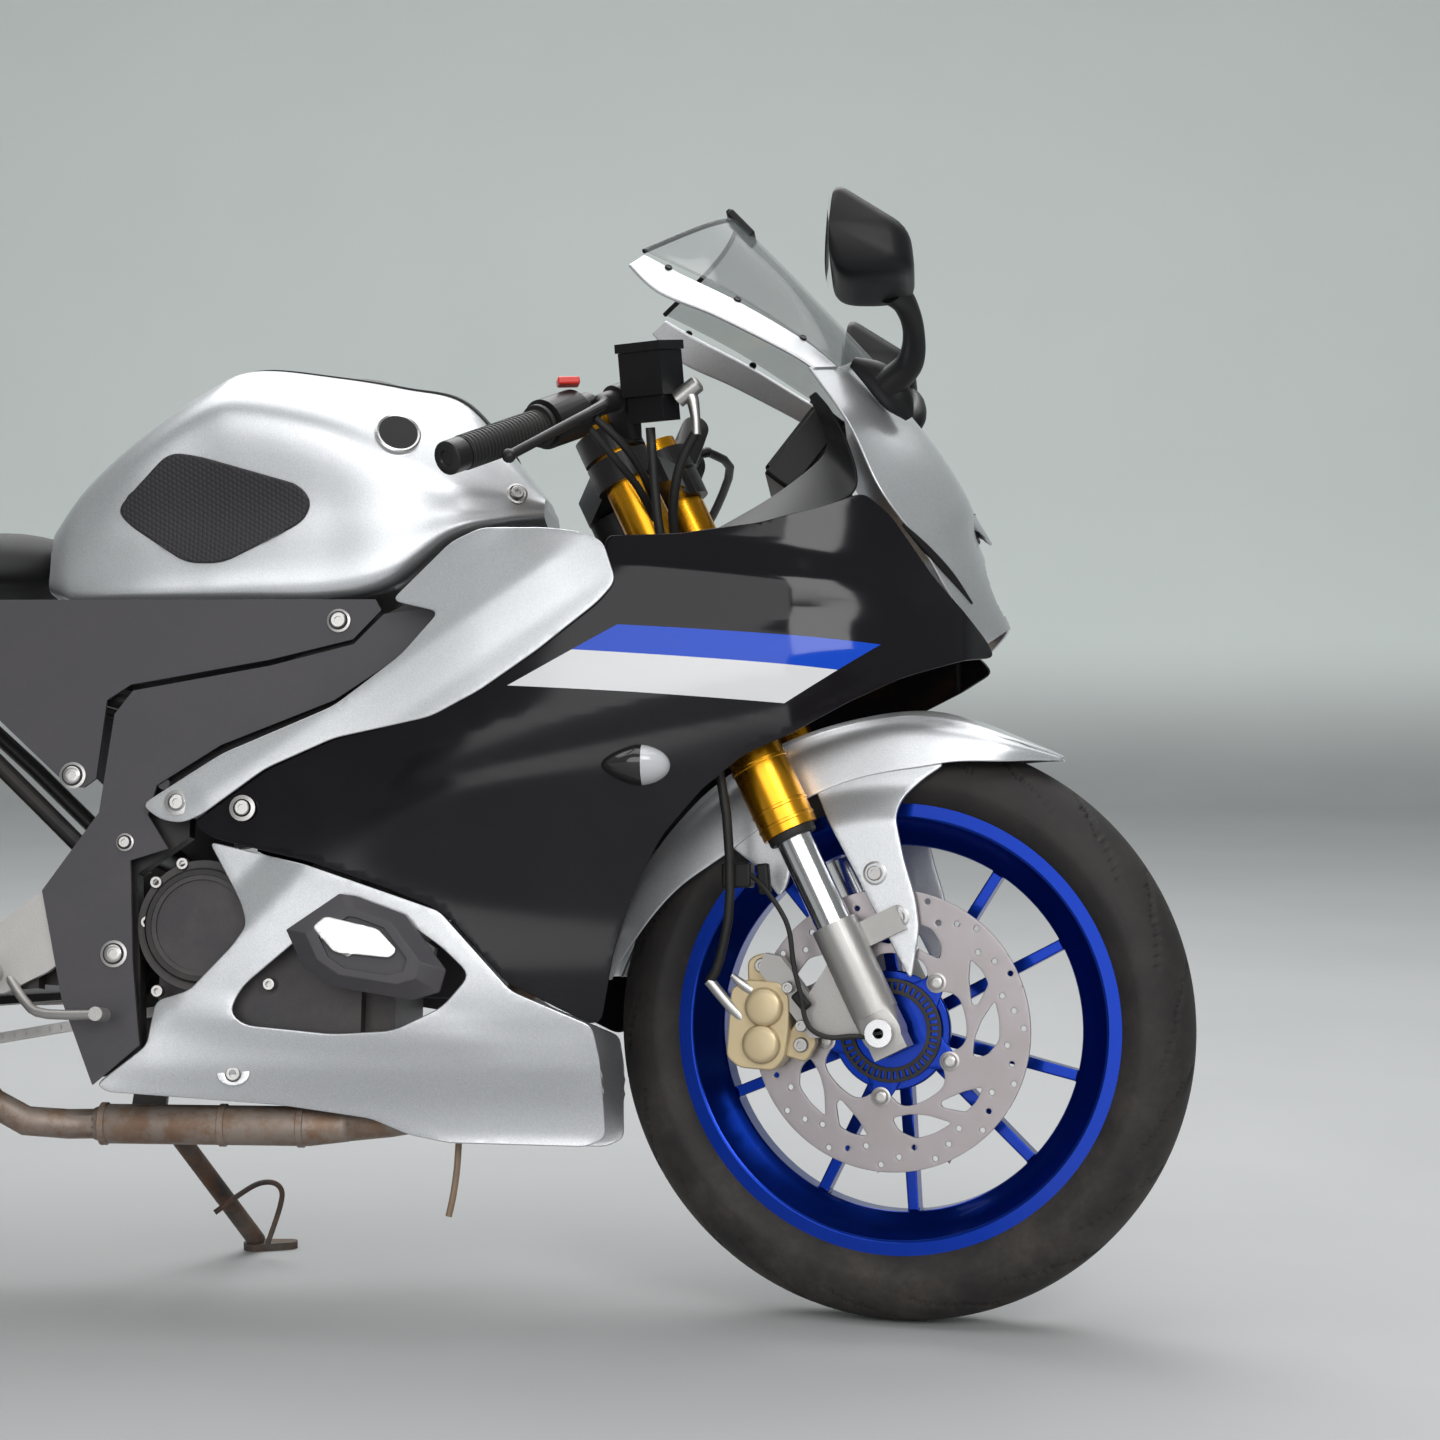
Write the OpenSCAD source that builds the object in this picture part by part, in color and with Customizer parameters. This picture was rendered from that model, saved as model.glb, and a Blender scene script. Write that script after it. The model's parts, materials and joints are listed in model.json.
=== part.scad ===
// Small sport motorcycle parked on its side stand, front wheel turned to the right.
// Bike frame: +X forward, +Y left, +Z up, floor at Z = 0, datum between the axles.
// Panels of the right side are drawn with y as the distance from the centre plane and mirrored to the left.

/* [Chassis] */
// Distance between the axles
wheelbase = 1325; // [1310:5:1345]
// Front axle ahead of the datum
front_axle_x = 662.5; // [655:0.5:670]
// Steering axis angle from the vertical
rake = 25.5; // [25:0.1:26]
// Fork legs ahead of the steering axis
fork_offset = 48; // [46:1:50]
// Half the distance between the fork legs
fork_half = 98; // [97:1:101]
// Lean to the left on the side stand
lean = 11; // [10:0.5:12]
// Steering turned to the right at rest
steer_rest = 12; // [6:1:16]

/* [Wheels] */
// Front tyre outer radius
front_tyre_r = 296; // [293:1:298]
// Front tyre width
front_tyre_w = 100; // [96:2:104]
// Rear tyre outer radius
rear_tyre_r = 314; // [310:1:316]
// Rear tyre width
rear_tyre_w = 138; // [130:2:140]
// Rim radius at the bead seat
rim_r = 217; // [215:1:219]
// Rim flange height over the bead seat
flange_h = 14; // [12:1:16]
// Front rim width over the flanges
front_rim_w = 76; // [72:2:80]
// Rear rim width over the flanges
rear_rim_w = 104; // [98:2:108]
// Spokes on each rim, in pairs
spoke_pairs = 5; // [5:1:6]
// Front brake disc radius
front_disc_r = 141; // [138:1:143]
// Rear brake disc radius
rear_disc_r = 110; // [106:1:112]
// Brake disc thickness
disc_t = 4; // [3:0.5:5]
// Axle radius
axle_r = 7.5; // [7:0.5:8]
// Bore through the hollow front axle, radius
axle_bore_r = 5; // [4:0.5:5.5]

/* [Fork] */
// Outer fork tube radius
tube_r = 25; // [24:0.5:26]
// Collar radius at the foot of the outer tube
collar_r = 29; // [28:0.5:30]
// Inner fork tube radius
slider_r = 18.5; // [18:0.5:19]
// Foot of the outer tube above the axle
tube_foot = 220; // [215:5:230]
// Top of the outer tube above the axle
tube_top = 684; // [680:2:690]
// Underside of the lower clamp above the axle
low_clamp = 404; // [400:2:410]
// Underside of the upper clamp above the axle
top_clamp = 612; // [610:1:616]
// Thickness of the fork clamps
clamp_t = 28; // [24:2:30]
// Steering stem radius
stem_r = 15; // [14:0.5:16]

/* [Body] */
// Wall of the plastic panels
panel_t = 3; // [2.5:0.5:3.5]
// Play between parts that move on each other
play = 0.3; // [0.2:0.1:0.4]
// Handlebar tube radius
bar_r = 11; // [10:0.5:12]
// Grip radius
grip_r = 16.5; // [15:0.5:18]
// Side stand leg radius
stand_r = 10; // [9:0.5:12]

/* [Hidden] */
$fn = 48;

// Where the axles are, so that both leaning tyres touch the floor
function lift(r) = r * (1 / cos(lean) - 1);
rear_axle_x = front_axle_x - wheelbase;
front_axle_z = front_tyre_r + lift(front_tyre_w / 2);
rear_axle_z = rear_tyre_r + lift(rear_tyre_w / 2);
// Foot of the perpendicular from the front axle to the steering axis
head_x = front_axle_x - fork_offset * cos(rake);
head_z = front_axle_z - fork_offset * sin(rake);
// Height that the turned front wheel gains, taken back along the steering axis
axle_tilt = sin(rake) * sin(steer_rest) * cos(lean) - cos(steer_rest) * sin(lean);
turned_z = (head_z + fork_offset * cos(steer_rest) * sin(rake)) * cos(lean)
    + fork_offset * sin(steer_rest) * sin(lean);
turned_low = turned_z - (front_tyre_r - front_tyre_w / 2) * sqrt(1 - axle_tilt * axle_tilt) - front_tyre_w / 2;
fork_sag = -turned_low / (cos(rake) * cos(lean));
// Middle of the bounding box over the floor
middle_x = -42;
middle_y = 168;

// Smooth curve through a list of points or of rows of points, t from 0 to the last index
function along(p, t) =
    let (n = len(p), i = min(floor(t), n - 2), f = t - i,
        a = p[max(i - 1, 0)], b = p[i], c = p[i + 1], d = p[min(i + 2, n - 1)])
    0.5 * (2 * b + f * (c - a) + f * f * (2 * a - 5 * b + 4 * c - d) + f * f * f * (3 * b - a - 3 * c + d));
function resample(p, n) = [for (k = [0:n]) along(p, k * (len(p) - 1) / n)];
function grid_of(rows, nu, nv) = [for (row = resample(rows, nu)) resample(row, nv)];
function flat(l) = [for (a = l) for (b = a) b];
function unit(v) = v / norm(v);
// Surface normal of a grid of points
function normal_at(g, i, j) =
    let (u = g[min(i + 1, len(g) - 1)][j] - g[max(i - 1, 0)][j],
        v = g[i][min(j + 1, len(g[0]) - 1)] - g[i][max(j - 1, 0)])
    unit(cross(u, v));
function quad(a, b, c, d) = [[a, b, c], [a, c, d]];

// Thin panel: the grid is its face, and its back lies wall behind it
module sheet(g, wall = panel_t) {
    nu = len(g) - 1;
    nv = len(g[0]) - 1;
    back = [for (i = [0:nu]) [for (j = [0:nv]) g[i][j] - wall * normal_at(g, i, j)]];
    w = nv + 1;
    m = (nu + 1) * w;
    face = flat([for (i = [0:nu - 1]) for (j = [0:nv - 1])
        quad(i * w + j, i * w + j + 1, (i + 1) * w + j + 1, (i + 1) * w + j)]);
    rear = flat([for (i = [0:nu - 1]) for (j = [0:nv - 1])
        quad(m + i * w + j, m + (i + 1) * w + j, m + (i + 1) * w + j + 1, m + i * w + j + 1)]);
    ends = flat([for (j = [0:nv - 1]) concat(
        quad(j, m + j, m + j + 1, j + 1),
        quad(nu * w + j, nu * w + j + 1, m + nu * w + j + 1, m + nu * w + j))]);
    sides = flat([for (i = [0:nu - 1]) concat(
        quad(i * w, (i + 1) * w, m + (i + 1) * w, m + i * w),
        quad(i * w + nv, m + i * w + nv, m + (i + 1) * w + nv, (i + 1) * w + nv))]);
    polyhedron(concat(flat(g), flat(back)), concat(face, rear, ends, sides));
}

// Solid through closed rings, which run from the rear to the front and turn from +Y to +Z
module loft(rings) {
    n = len(rings[0]);
    k = len(rings);
    walls = flat([for (i = [0:k - 2]) for (j = [0:n - 1]) let (q = (j + 1) % n)
        quad(i * n + j, (i + 1) * n + j, (i + 1) * n + q, i * n + q)]);
    first = [for (j = [1:n - 2]) [0, j, j + 1]];
    last = [for (j = [1:n - 2]) [(k - 1) * n, (k - 1) * n + j + 1, (k - 1) * n + j]];
    polyhedron(flat(rings), concat(walls, first, last));
}

// Closed ring from a half outline in y and z, from the bottom to the top
function ring(x, half) = concat(
    [for (p = half) [x, p[0], p[1]]],
    [for (k = [len(half) - 1:-1:0]) if (half[k][0] > 0.01) [x, -half[k][0], half[k][1]]]);

// Round tube along a smooth path; the side vector is any direction that the path never follows
module pipe(path, r, steps = 10, side = [0, 1, 0], sides = 12) {
    line = resample(path, steps);
    loft([for (k = [0:steps]) let (t = unit(line[min(k + 1, steps)] - line[max(k - 1, 0)]),
        a = unit(cross(t, side)), b = cross(t, a))
        [for (j = [0:sides - 1]) line[k] + r * (a * cos(j * 360 / sides) + b * sin(j * 360 / sides))]]);
}
module run(a, b, r) {
    d = b - a;
    translate(a) rotate([0, acos(d[2] / norm(d)), atan2(d[1], d[0])]) cylinder(h = norm(d), r = r);
}

module both_sides() {
    children();
    mirror([0, 1, 0]) children();
}
module right_side() mirror([0, 1, 0]) children();
// Outline in x and z, from y = a to y = b
module plate(outline, a, b) translate([0, b, 0]) rotate([90, 0, 0]) linear_extrude(b - a) polygon(outline);
module disc_y(x, z, r, a, b) translate([x, b, z]) rotate([90, 0, 0]) cylinder(h = b - a, r = r);

module parked() translate([-middle_x, -middle_y, 0]) rotate([-lean, 0, 0]) children();
module head_frame() translate([head_x, 0, head_z]) rotate([0, -rake, 0]) translate([0, 0, fork_sag]) children();
module steered() parked() head_frame() rotate([0, 0, -steer_rest]) children();

// Half width of the front bodywork at a place in the side view
skin_z = [180, 300, 420, 540, 660, 780];
skin_x = [-200, -50, 100, 250, 400, 550, 650, 720, 760];
skin_y = [
    [118, 124, 128, 135, 135, 135],
    [100, 130, 142, 150, 145, 140],
    [88, 135, 152, 168, 165, 150],
    [92, 138, 158, 186, 194, 186],
    [92, 138, 160, 194, 210, 204],
    [90, 130, 155, 184, 204, 196],
    [85, 120, 140, 160, 172, 160],
    [60, 90, 105, 118, 118, 96],
    [20, 40, 50, 56, 52, 40]];
function place(v, table) = lookup(v, [for (k = [0:len(table) - 1]) [table[k], k]]);
function skin(x, z) = along(along(skin_y, place(x, skin_x)), place(z, skin_z));
// Panel of the skin between an upper and a lower edge: rows of x, z above and x, z below, and an inset
function skin_row(r, inset) = [for (k = [0:4]) let (x = r[0] + (r[2] - r[0]) * k / 4, z = r[1] + (r[3] - r[1]) * k / 4)
    [x, skin(x, z) - inset, z]];
module skin_panel(edges, nu, nv, inset = 0)
    right_side() sheet(grid_of([for (e = resample(edges, nu)) skin_row(e, inset)], nu, nv));

/* Rolling parts: wheels, tyres and discs, drawn round the axle along Y */
module tyre_section(r, w, rim_w) {
    crown = w / 2;
    difference() {
        union() {
            translate([r - crown, 0]) circle(crown);
            polygon([[rim_r, -rim_w / 2 + 6], [r - crown, -crown], [r - crown, crown], [rim_r, rim_w / 2 - 6]]);
        }
        polygon([[0, -w], [rim_r + play, -w], [rim_r + play, w], [0, w]]);
        for (s = [-1, 1]) polygon([[0, s * (rim_w / 2 - 8)], [rim_r + flange_h + 1, s * (rim_w / 2 - 8)],
            [rim_r + flange_h + 1, s * w], [0, s * w]]);
    }
}
module tyre(r, w, rim_w) rotate([90, 0, 0]) rotate_extrude($fn = 96) tyre_section(r, w, rim_w);

module rim_section(w) {
    well = 16;
    deep = rim_r - 26;
    for (s = [-1, 1]) polygon([[rim_r - 6, s * (w / 2 - 22)], [rim_r, s * (w / 2 - 22)],
        [rim_r, s * (w / 2 - 7)], [rim_r + flange_h, s * (w / 2 - 7)], [rim_r + flange_h, s * w / 2],
        [rim_r - 4, s * w / 2], [rim_r - 14, s * (w / 2 - 10)], [deep - 6, s * well]]);
    polygon([[deep - 6, -well], [rim_r - 6, -w / 2 + 22], [rim_r, -w / 2 + 22], [deep, -well],
        [deep, well], [rim_r, w / 2 - 22], [rim_r - 6, w / 2 - 22], [deep - 6, well]]);
}
module spoke(angle, foot, tip, thick, width) rotate([0, 0, angle]) {
    linear_extrude(width, center = true)
        polygon([[foot, -1.2 * thick], [tip, -thick], [tip, thick], [foot, 1.2 * thick]]);
}
module wheel(w, hub_r, hub_a, hub_b, width, flange_r) rotate([90, 0, 0]) difference() {
    union() {
        rotate_extrude($fn = 96) rim_section(w);
        translate([0, 0, -hub_b]) cylinder(h = hub_b - hub_a, r = hub_r);
        translate([0, 0, -hub_a - 8]) cylinder(h = 8, r = flange_r);
        for (k = [0:spoke_pairs - 1]) for (s = [-1, 1])
            spoke(spoke_turn + k * 360 / spoke_pairs + s * pair_half, hub_r - 4, rim_r - 28, spoke_t, width);
    }
    translate([0, 0, -hub_b - 1]) cylinder(h = hub_b - hub_a + 2, r = axle_r + play);
}
spoke_turn = 17;
pair_half = 15;
spoke_t = 5.5;

disc_holes = 15;
module disc(r, inner, carrier, bolts) rotate([90, 0, 0]) linear_extrude(disc_t, center = true) difference() {
    union() {
        difference() {
            circle(r);
            circle(r - 36);
        }
        difference() {
            circle(carrier + 9);
            circle(inner);
        }
        for (k = [0:bolts - 1]) rotate(k * 360 / bolts + 20)
            polygon([[carrier - 4, -8], [r - 34, 10], [r - 34, 30], [carrier - 4, 8]]);
    }
    for (k = [0:disc_holes - 1]) for (s = [0, 1]) rotate((k + s / 2) * 360 / disc_holes)
        translate([r - 9 - 16 * s, 0]) circle(3.5);
}

module at_front_axle() translate([fork_offset, 0, 0]) children();
module at_rear_axle() translate([rear_axle_x, 0, rear_axle_z]) children();
front_hub_half = 62;
front_disc_y = 66.5;
module front_tyre() color("#2b2728") steered() at_front_axle() tyre(front_tyre_r, front_tyre_w, front_rim_w);
module front_rim() color("#0b3fb0") steered() at_front_axle() wheel(front_rim_w, 27, -front_hub_half - 2, front_hub_half, 22, 60);
module front_disc() color("#b9b4b0") steered() at_front_axle() translate([0, -front_disc_y, 0])
    disc(front_disc_r, 48, 62, 5);
rear_hub_a = -72;
rear_hub_b = 66;
rear_disc_y = -75;
sprocket_y = 78;
sprocket_r = 92;
sprocket_t = 6;
module rear_tyre() color("#2b2728") parked() at_rear_axle() tyre(rear_tyre_r, rear_tyre_w, rear_rim_w);
module rear_rim() color("#0b3fb0") parked() at_rear_axle() wheel(rear_rim_w, 40, rear_hub_a - 2, rear_hub_b, 26, 56);
module rear_disc() color("#b9b4b0") parked() at_rear_axle() translate([0, rear_disc_y - disc_t / 2 + 0.5, 0])
    disc(rear_disc_r, 40, 52, 5);
teeth = 48;
module rear_sprocket() color("#8f8f92") parked() at_rear_axle() {
    difference() {
        union() {
            translate([0, sprocket_y + sprocket_t / 2, 0]) rotate([90, 0, 0]) linear_extrude(sprocket_t) union() {
                circle(sprocket_r - 4);
                for (k = [0:teeth - 1]) rotate(k * 360 / teeth)
                    polygon([[sprocket_r - 6, -3], [sprocket_r, -1], [sprocket_r, 1], [sprocket_r - 6, 3]]);
            }
            translate([0, sprocket_y, 0]) rotate([90, 0, 0]) cylinder(h = sprocket_y - rear_hub_b - play, r = 45);
        }
        translate([0, 100, 0]) rotate([90, 0, 0]) cylinder(h = 100, r = axle_r + play);
        for (k = [0:4]) rotate([0, k * 72, 0]) translate([64, sprocket_y + 10, 0]) rotate([90, 0, 0])
            cylinder(h = 20, r = 13);
    }
}

/* Fork and handlebars, drawn round the steering axis */
module leg_pair() for (s = [-1, 1]) translate([fork_offset, s * fork_half, 0]) children();
module fork_tubes() color("#d18a12") steered() leg_pair() difference() {
    union() {
        translate([0, 0, tube_foot]) cylinder(h = tube_top - tube_foot, r = tube_r);
        translate([0, 0, tube_foot]) cylinder(h = 92, r = collar_r);
        translate([0, 0, tube_foot + 92]) cylinder(h = 8, r1 = collar_r, r2 = tube_r);
    }
    translate([0, 0, tube_foot - 1]) cylinder(h = 120, r = slider_r + play);
}
slider_foot = 92;
module fork_sliders() color("#c9c9cd") steered() leg_pair()
    translate([0, 0, slider_foot]) cylinder(h = tube_foot + 100 - slider_foot, r = slider_r);

module foot_casting() {
    difference() {
        union() {
            translate([0, 0, 20]) cylinder(h = slider_foot + 26 - 20, r = slider_r + 5);
            hull() {
                translate([0, 0, 20]) cylinder(h = 20, r = slider_r + 4);
                rotate([90, 0, 0]) cylinder(h = 34, r = 20, center = true);
            }
            translate([0, 0, -6]) cube([36, 34, 34], center = true);
        }
        translate([0, 0, slider_foot]) cylinder(h = 60, r = slider_r + play);
        rotate([90, 0, 0]) cylinder(h = 80, r = axle_r + play, center = true);
    }
}
// Right foot carries the brake caliper on an arm behind the leg
caliper_arm = [[-22, 6], [-70, 26], [-88, 108], [-76, 122], [-62, 112], [-52, 66], [-22, 84]];
module fork_feet() color("#b4b4b6") steered() {
    leg_pair() foot_casting();
    for (s = [-1, 1]) translate([fork_offset + 41, s * (leg_outer + 6.4), 96]) cube([42, 12, 26], center = true);
    translate([fork_offset, -fork_half, 0]) rotate([90, 0, 0])
        translate([0, 0, -9]) linear_extrude(16) polygon(caliper_arm);
}
axle_end = fork_half + 22;
module front_axle() color("#8f9094") steered() at_front_axle() rotate([90, 0, 0]) difference() {
    union() {
        translate([0, 0, -axle_end]) cylinder(h = 2 * axle_end + 2, r = axle_r);
        for (s = [-1, 1]) translate([0, 0, s * (front_hub_half + 7.4)]) cylinder(h = 9.4, r = 13, center = true);
        translate([0, 0, axle_end + 1]) cylinder(h = 8, r = 14);
    }
    cylinder(h = 3 * axle_end, r = axle_bore_r, center = true);
}

clamp_web = 30;
module clamp(z, ear) translate([0, 0, z]) difference() {
    linear_extrude(clamp_t) difference() {
        union() {
            hull() {
                circle(clamp_web);
                for (s = [-1, 1]) translate([fork_offset, s * fork_half]) circle(tube_r + ear - 6);
            }
            for (s = [-1, 1]) translate([fork_offset, s * fork_half]) circle(tube_r + ear);
        }
        for (s = [-1, 1]) translate([fork_offset, s * fork_half]) circle(tube_r + play / 2);
    }
    translate([0, 0, clamp_t / 2]) for (s = [-1, 1]) translate([fork_offset + 34, s * (fork_half - 44), 0])
        cube([26, 40, clamp_t + 2], center = true);
}
module fork_clamps() color("#242226") steered() {
    clamp(low_clamp, 9);
    clamp(top_clamp, 8);
    translate([0, 0, low_clamp + clamp_t]) cylinder(h = top_clamp - low_clamp - clamp_t, r = stem_r);
    translate([0, 0, top_clamp + clamp_t]) cylinder(h = 10, r = 18);
}

// Right clip-on bar: from ahead of the fork leg out, back and down
bar_in = [94, -126, 687];
bar_out = [-34, -350, 654];
bar_dir = unit(bar_out - bar_in);
grip_len = 118;
bar_len = norm(bar_out - bar_in);
clip_z = top_clamp + clamp_t + 4;
module along_bar(d) translate(bar_in + d * bar_dir)
    rotate([0, acos(bar_dir[2]), atan2(bar_dir[1], bar_dir[0])]) children();
module clip_arm(grow) hull() {
    translate([fork_offset + 22, -fork_half - 8, clip_z + 2 - grow]) cylinder(h = 22 + 2 * grow, r = 12 + grow);
    along_bar(2 - grow) cylinder(h = 24 + 2 * grow, r = bar_r + 4 + grow);
}
module clip_on() {
    difference() {
        union() {
            translate([fork_offset, -fork_half, clip_z]) cylinder(h = 26, r = tube_r + 8);
            clip_arm(0);
        }
        translate([fork_offset, -fork_half, clip_z - 1]) cylinder(h = 40, r = tube_r + play / 2);
    }
    along_bar(10) cylinder(h = bar_len - 10, r = bar_r);
    along_bar(bar_len) cylinder(h = 16, r = grip_r);
}
module handlebars() color("#1f1d20") steered() both_sides() clip_on();
module grips() color("#19171a") steered() both_sides() along_bar(bar_len - grip_len - 2) difference() {
    union() {
        cylinder(h = grip_len, r = grip_r);
        cylinder(h = 5, r = grip_r + 5);
    }
    translate([0, 0, -1]) cylinder(h = grip_len + 2, r = bar_r + play);
}
// Switch box, lever perch and lever on each bar
lever_reach = 44;
switch_d = bar_len - grip_len - 52;
module switch_box() along_bar(switch_d) difference() {
    union() {
        cylinder(h = 46, r = 25);
        translate([0, 0, -24]) cylinder(h = 20, r = 17);
    }
    translate([0, 0, -30]) cylinder(h = 90, r = bar_r + play);
}
lever_points = [
    bar_in + (switch_d - 14) * bar_dir + [24, -12, -2],
    bar_in + (switch_d + 10) * bar_dir + [lever_reach, -34, -16],
    bar_in + (switch_d + 90) * bar_dir + [lever_reach - 4, -30, -24],
    bar_in + (bar_len - 26) * bar_dir + [lever_reach - 14, -24, -28]];
module lever() {
    hull() {
        along_bar(switch_d - 18) cylinder(h = 0.1, r = 4, $fn = 12);
        translate(lever_points[0]) sphere(6, $fn = 12);
    }
    pipe(lever_points, 5, 9, [0, 0, 1]);
    translate(lever_points[3]) sphere(7, $fn = 12);
}
module levers() color("#232126") steered() both_sides() {
    switch_box();
    difference() {
        lever();
        along_bar(switch_d - 40) cylinder(h = 60, r = bar_r + 5);
    }
}
reservoir = [124, -148, 680];
module brake_reservoir() color("#161417") steered() difference() {
    translate(reservoir) rotate([0, 24, -20]) {
        translate([-25, -20, -12]) cube([50, 40, 44]);
        translate([-27, -22, 32.3]) cube([54, 44, 9]);
        translate([-21, -16, -38]) cube([42, 30, 25.7]);
    }
    clip_arm(play);
    along_bar(10) cylinder(h = bar_len, r = bar_r + play);
}
caliper_y = -front_disc_y;
caliper_ear = fork_half - 9 - 0.4;
module front_caliper() color("#b59b6a") steered() at_front_axle() difference() {
    union() {
        translate([-124, caliper_y, 56]) rotate([0, -28, 0]) {
            translate([0, -24, 0]) cube([44, 26, 84], center = true);
            for (s = [-1, 1]) translate([2, -36, s * 21]) rotate([90, 0, 0]) cylinder(h = 9, r = 19);
            translate([-19, 0, 0]) cube([8, 44, 80], center = true);
            translate([0, 17, 0]) cube([42, 12, 76], center = true);
        }
        plate([[-128, 100], [-88, 120], [-72, 116], [-74, 104], [-112, 80]], -caliper_ear, -78);
        plate([[-120, 30], [-76, 20], [-62, 30], [-66, 44], [-112, 56]], -caliper_ear, -78);
    }
    translate([0, caliper_y, 0]) rotate([90, 0, 0]) cylinder(h = disc_t + 4, r = front_disc_r + 4, center = true);
}
hose_path = [[104, -152, 640], [70, -140, 560], [47, -128.6, 490], [24, -136, 420], [14, -128, 300], [-30, -118, 190],
    [-70, -112, 135], [-90, -108, 120]];
module brake_hose() color("#161416") steered() pipe(hose_path, 5, 21);

// Front fender: rows across the tyre at angles round the wheel from the fork's forward direction
fender_rows = [ // angle, crown radius, crease y, crease radius, edge y, edge radius
    [33.5, 316, 5, 316, 9, 314], [42, 315, 34, 312, 48, 290], [51, 318, 44, 313, 60, 275], [60, 320, 48, 313, 63, 262],
    [75, 314, 50, 306, 63, 252], [92, 312, 50, 302, 63, 244], [105, 312, 50, 300, 63, 243], [113, 311, 50, 300, 63, 249],
    [122, 311, 50, 303, 62, 262], [135, 312, 46, 306, 58, 280], [145.6, 313, 24, 310, 32, 304]];
function fender_half(f) = [[0, f[1]], [0.55 * f[2], f[1] - 0.25 * (f[1] - f[3])], [f[2], f[3]],
    [0.25 * f[2] + 0.75 * f[4], f[3] - 0.3 * (f[3] - f[5])], [f[4], f[5]]];
function fender_row(f) = let (h = fender_half(f), all = concat([for (k = [4:-1:1]) [-h[k][0], h[k][1]]], h))
    [for (p = all) [p[1] * cos(f[0]), p[0], p[1] * sin(f[0])]];
leg_outline = [[33, 278], [67, 277], [96, 242], [107, 201], [96, 185], [90, 145], [85, 108], [73, 79], [42, 34], [39, 148], [34, 232]];
leg_inner = 76;
leg_outer = 80;
module front_fender() color("#b9bcc0") steered() {
    at_front_axle() {
        sheet(grid_of([for (f = fender_rows) fender_row(f)], 18, 12));
        both_sides() plate([[34, 252], [92, 250], [88, 270], [34, 275]], 57, leg_outer);
    }
    both_sides() difference() {
        translate([fork_offset, 0, 0]) plate(leg_outline, leg_inner, leg_outer);
        translate([fork_offset, fork_half, 100]) cylinder(h = 300, r = collar_r + 2);
    }
}

/* Frame, engine and running gear */
spar_rows = [ // x, inner y, outer y, lower z, upper z
    [392, 6, 30, 690, 772], [345, 40, 66, 668, 774], [290, 72, 98, 648, 764], [180, 84, 110, 610, 730],
    [20, 88, 112, 548, 650], [-90, 88, 112, 480, 572], [-140, 88, 112, 440, 520]];
pivot_x = -150;
pivot_z = 352;
pivot_plate = [[-60, 556], [-128, 516], [-196, 420], [-182, 310], [-152, 236], [-100, 240], [-106, 352],
    [-112, 440], [-60, 478]];
head_low = low_clamp + clamp_t + 2;
head_high = top_clamp - 2;
module frame() color("#2c2a2e") parked() {
    difference() {
        union() {
            head_frame() translate([0, 0, head_low]) cylinder(h = head_high - head_low, r = 29);
            both_sides() loft([for (k = [len(spar_rows) - 1:-1:0]) let (r = spar_rows[k])
                [[r[0], r[2], r[3]], [r[0], r[2], r[4]], [r[0], r[1], r[4]], [r[0], r[1], r[3]]]]);
        }
        head_frame() translate([0, 0, low_clamp]) cylinder(h = 400, r = stem_r + play);
    }
    both_sides() plate(pivot_plate, 88, 112);
    for (p = [[-122, 470], [-128, 262]]) disc_y(p[0], p[1], 13, -88, 88);
    disc_y(pivot_x, pivot_z, 10, -112, 112);
    on_pin() translate([0, 0, -eye_half - 20]) cylinder(h = 2 * eye_half + 22, r = pin_r);
    on_pin() translate([0, 0, -eye_half - 12]) cylinder(h = 11.6, r = 12);
    plate([[-160, 196], [-122, 206], [-118, 262], [-152, 262]], 80, 89);
}
module subframe() color("#242226") parked() {
    both_sides() {
        pipe([[-112, 98, 612], [-330, 92, 672], [-560, 78, 742], [-800, 60, 806]], 11, 8);
        pipe([[-176, 100, 470], [-340, 94, 620], [-470, 84, 708]], 9, 6);
        plate([[-216, 634], [-184, 634], [-184, 690], [-216, 690]], 92, 104);
    }
    disc_y(-640, 790, 8, -121, 121);
    translate([-355, -90, 676]) cube([12, 180, 59.5]);
    translate([-712, -70, 776]) cube([24, 140, 89.5]);
    translate([-648, -70, 760]) cube([16, 140, 26]);
}
module engine() color("#3a383b") parked() {
    difference() {
        plate([[-92, 250], [-60, 228], [120, 232], [150, 270], [150, 380], [110, 440], [10, 452], [-92, 430]], -86, 86);
        translate([-100, sprocket_y - 14, 280]) cube([52, 40, 160]);
    }
    translate([108, 0, 420]) rotate([0, 42, 0]) {
        translate([-62, -60, -30]) cube([124, 120, 120]);
        translate([-70, -68, 90]) cube([140, 136, 74]);
        for (k = [0:4]) translate([-66, -64, -6 + 18 * k]) cube([132, 128, 6]);
    }
}
cover_x = -42;
cover_z = 388;
module engine_covers() color("#2a282b") parked() {
    difference() {
        union() {
            disc_y(cover_x, cover_z, 66, -118, -86.3);
            disc_y(cover_x, cover_z, 52, -124, -117);
            translate([0, -100, 0]) plate([[-60, 300], [60, 250], [120, 270], [120, 380], [20, 430], [-60, 400]], -10, 13.7);
        }
        disc_y(cover_x, cover_z, 46, -130, -121);
    }
    disc_y(10, 345, 62, 86.3, 116);
    disc_y(10, 345, 46, 115, 121);
}
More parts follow.
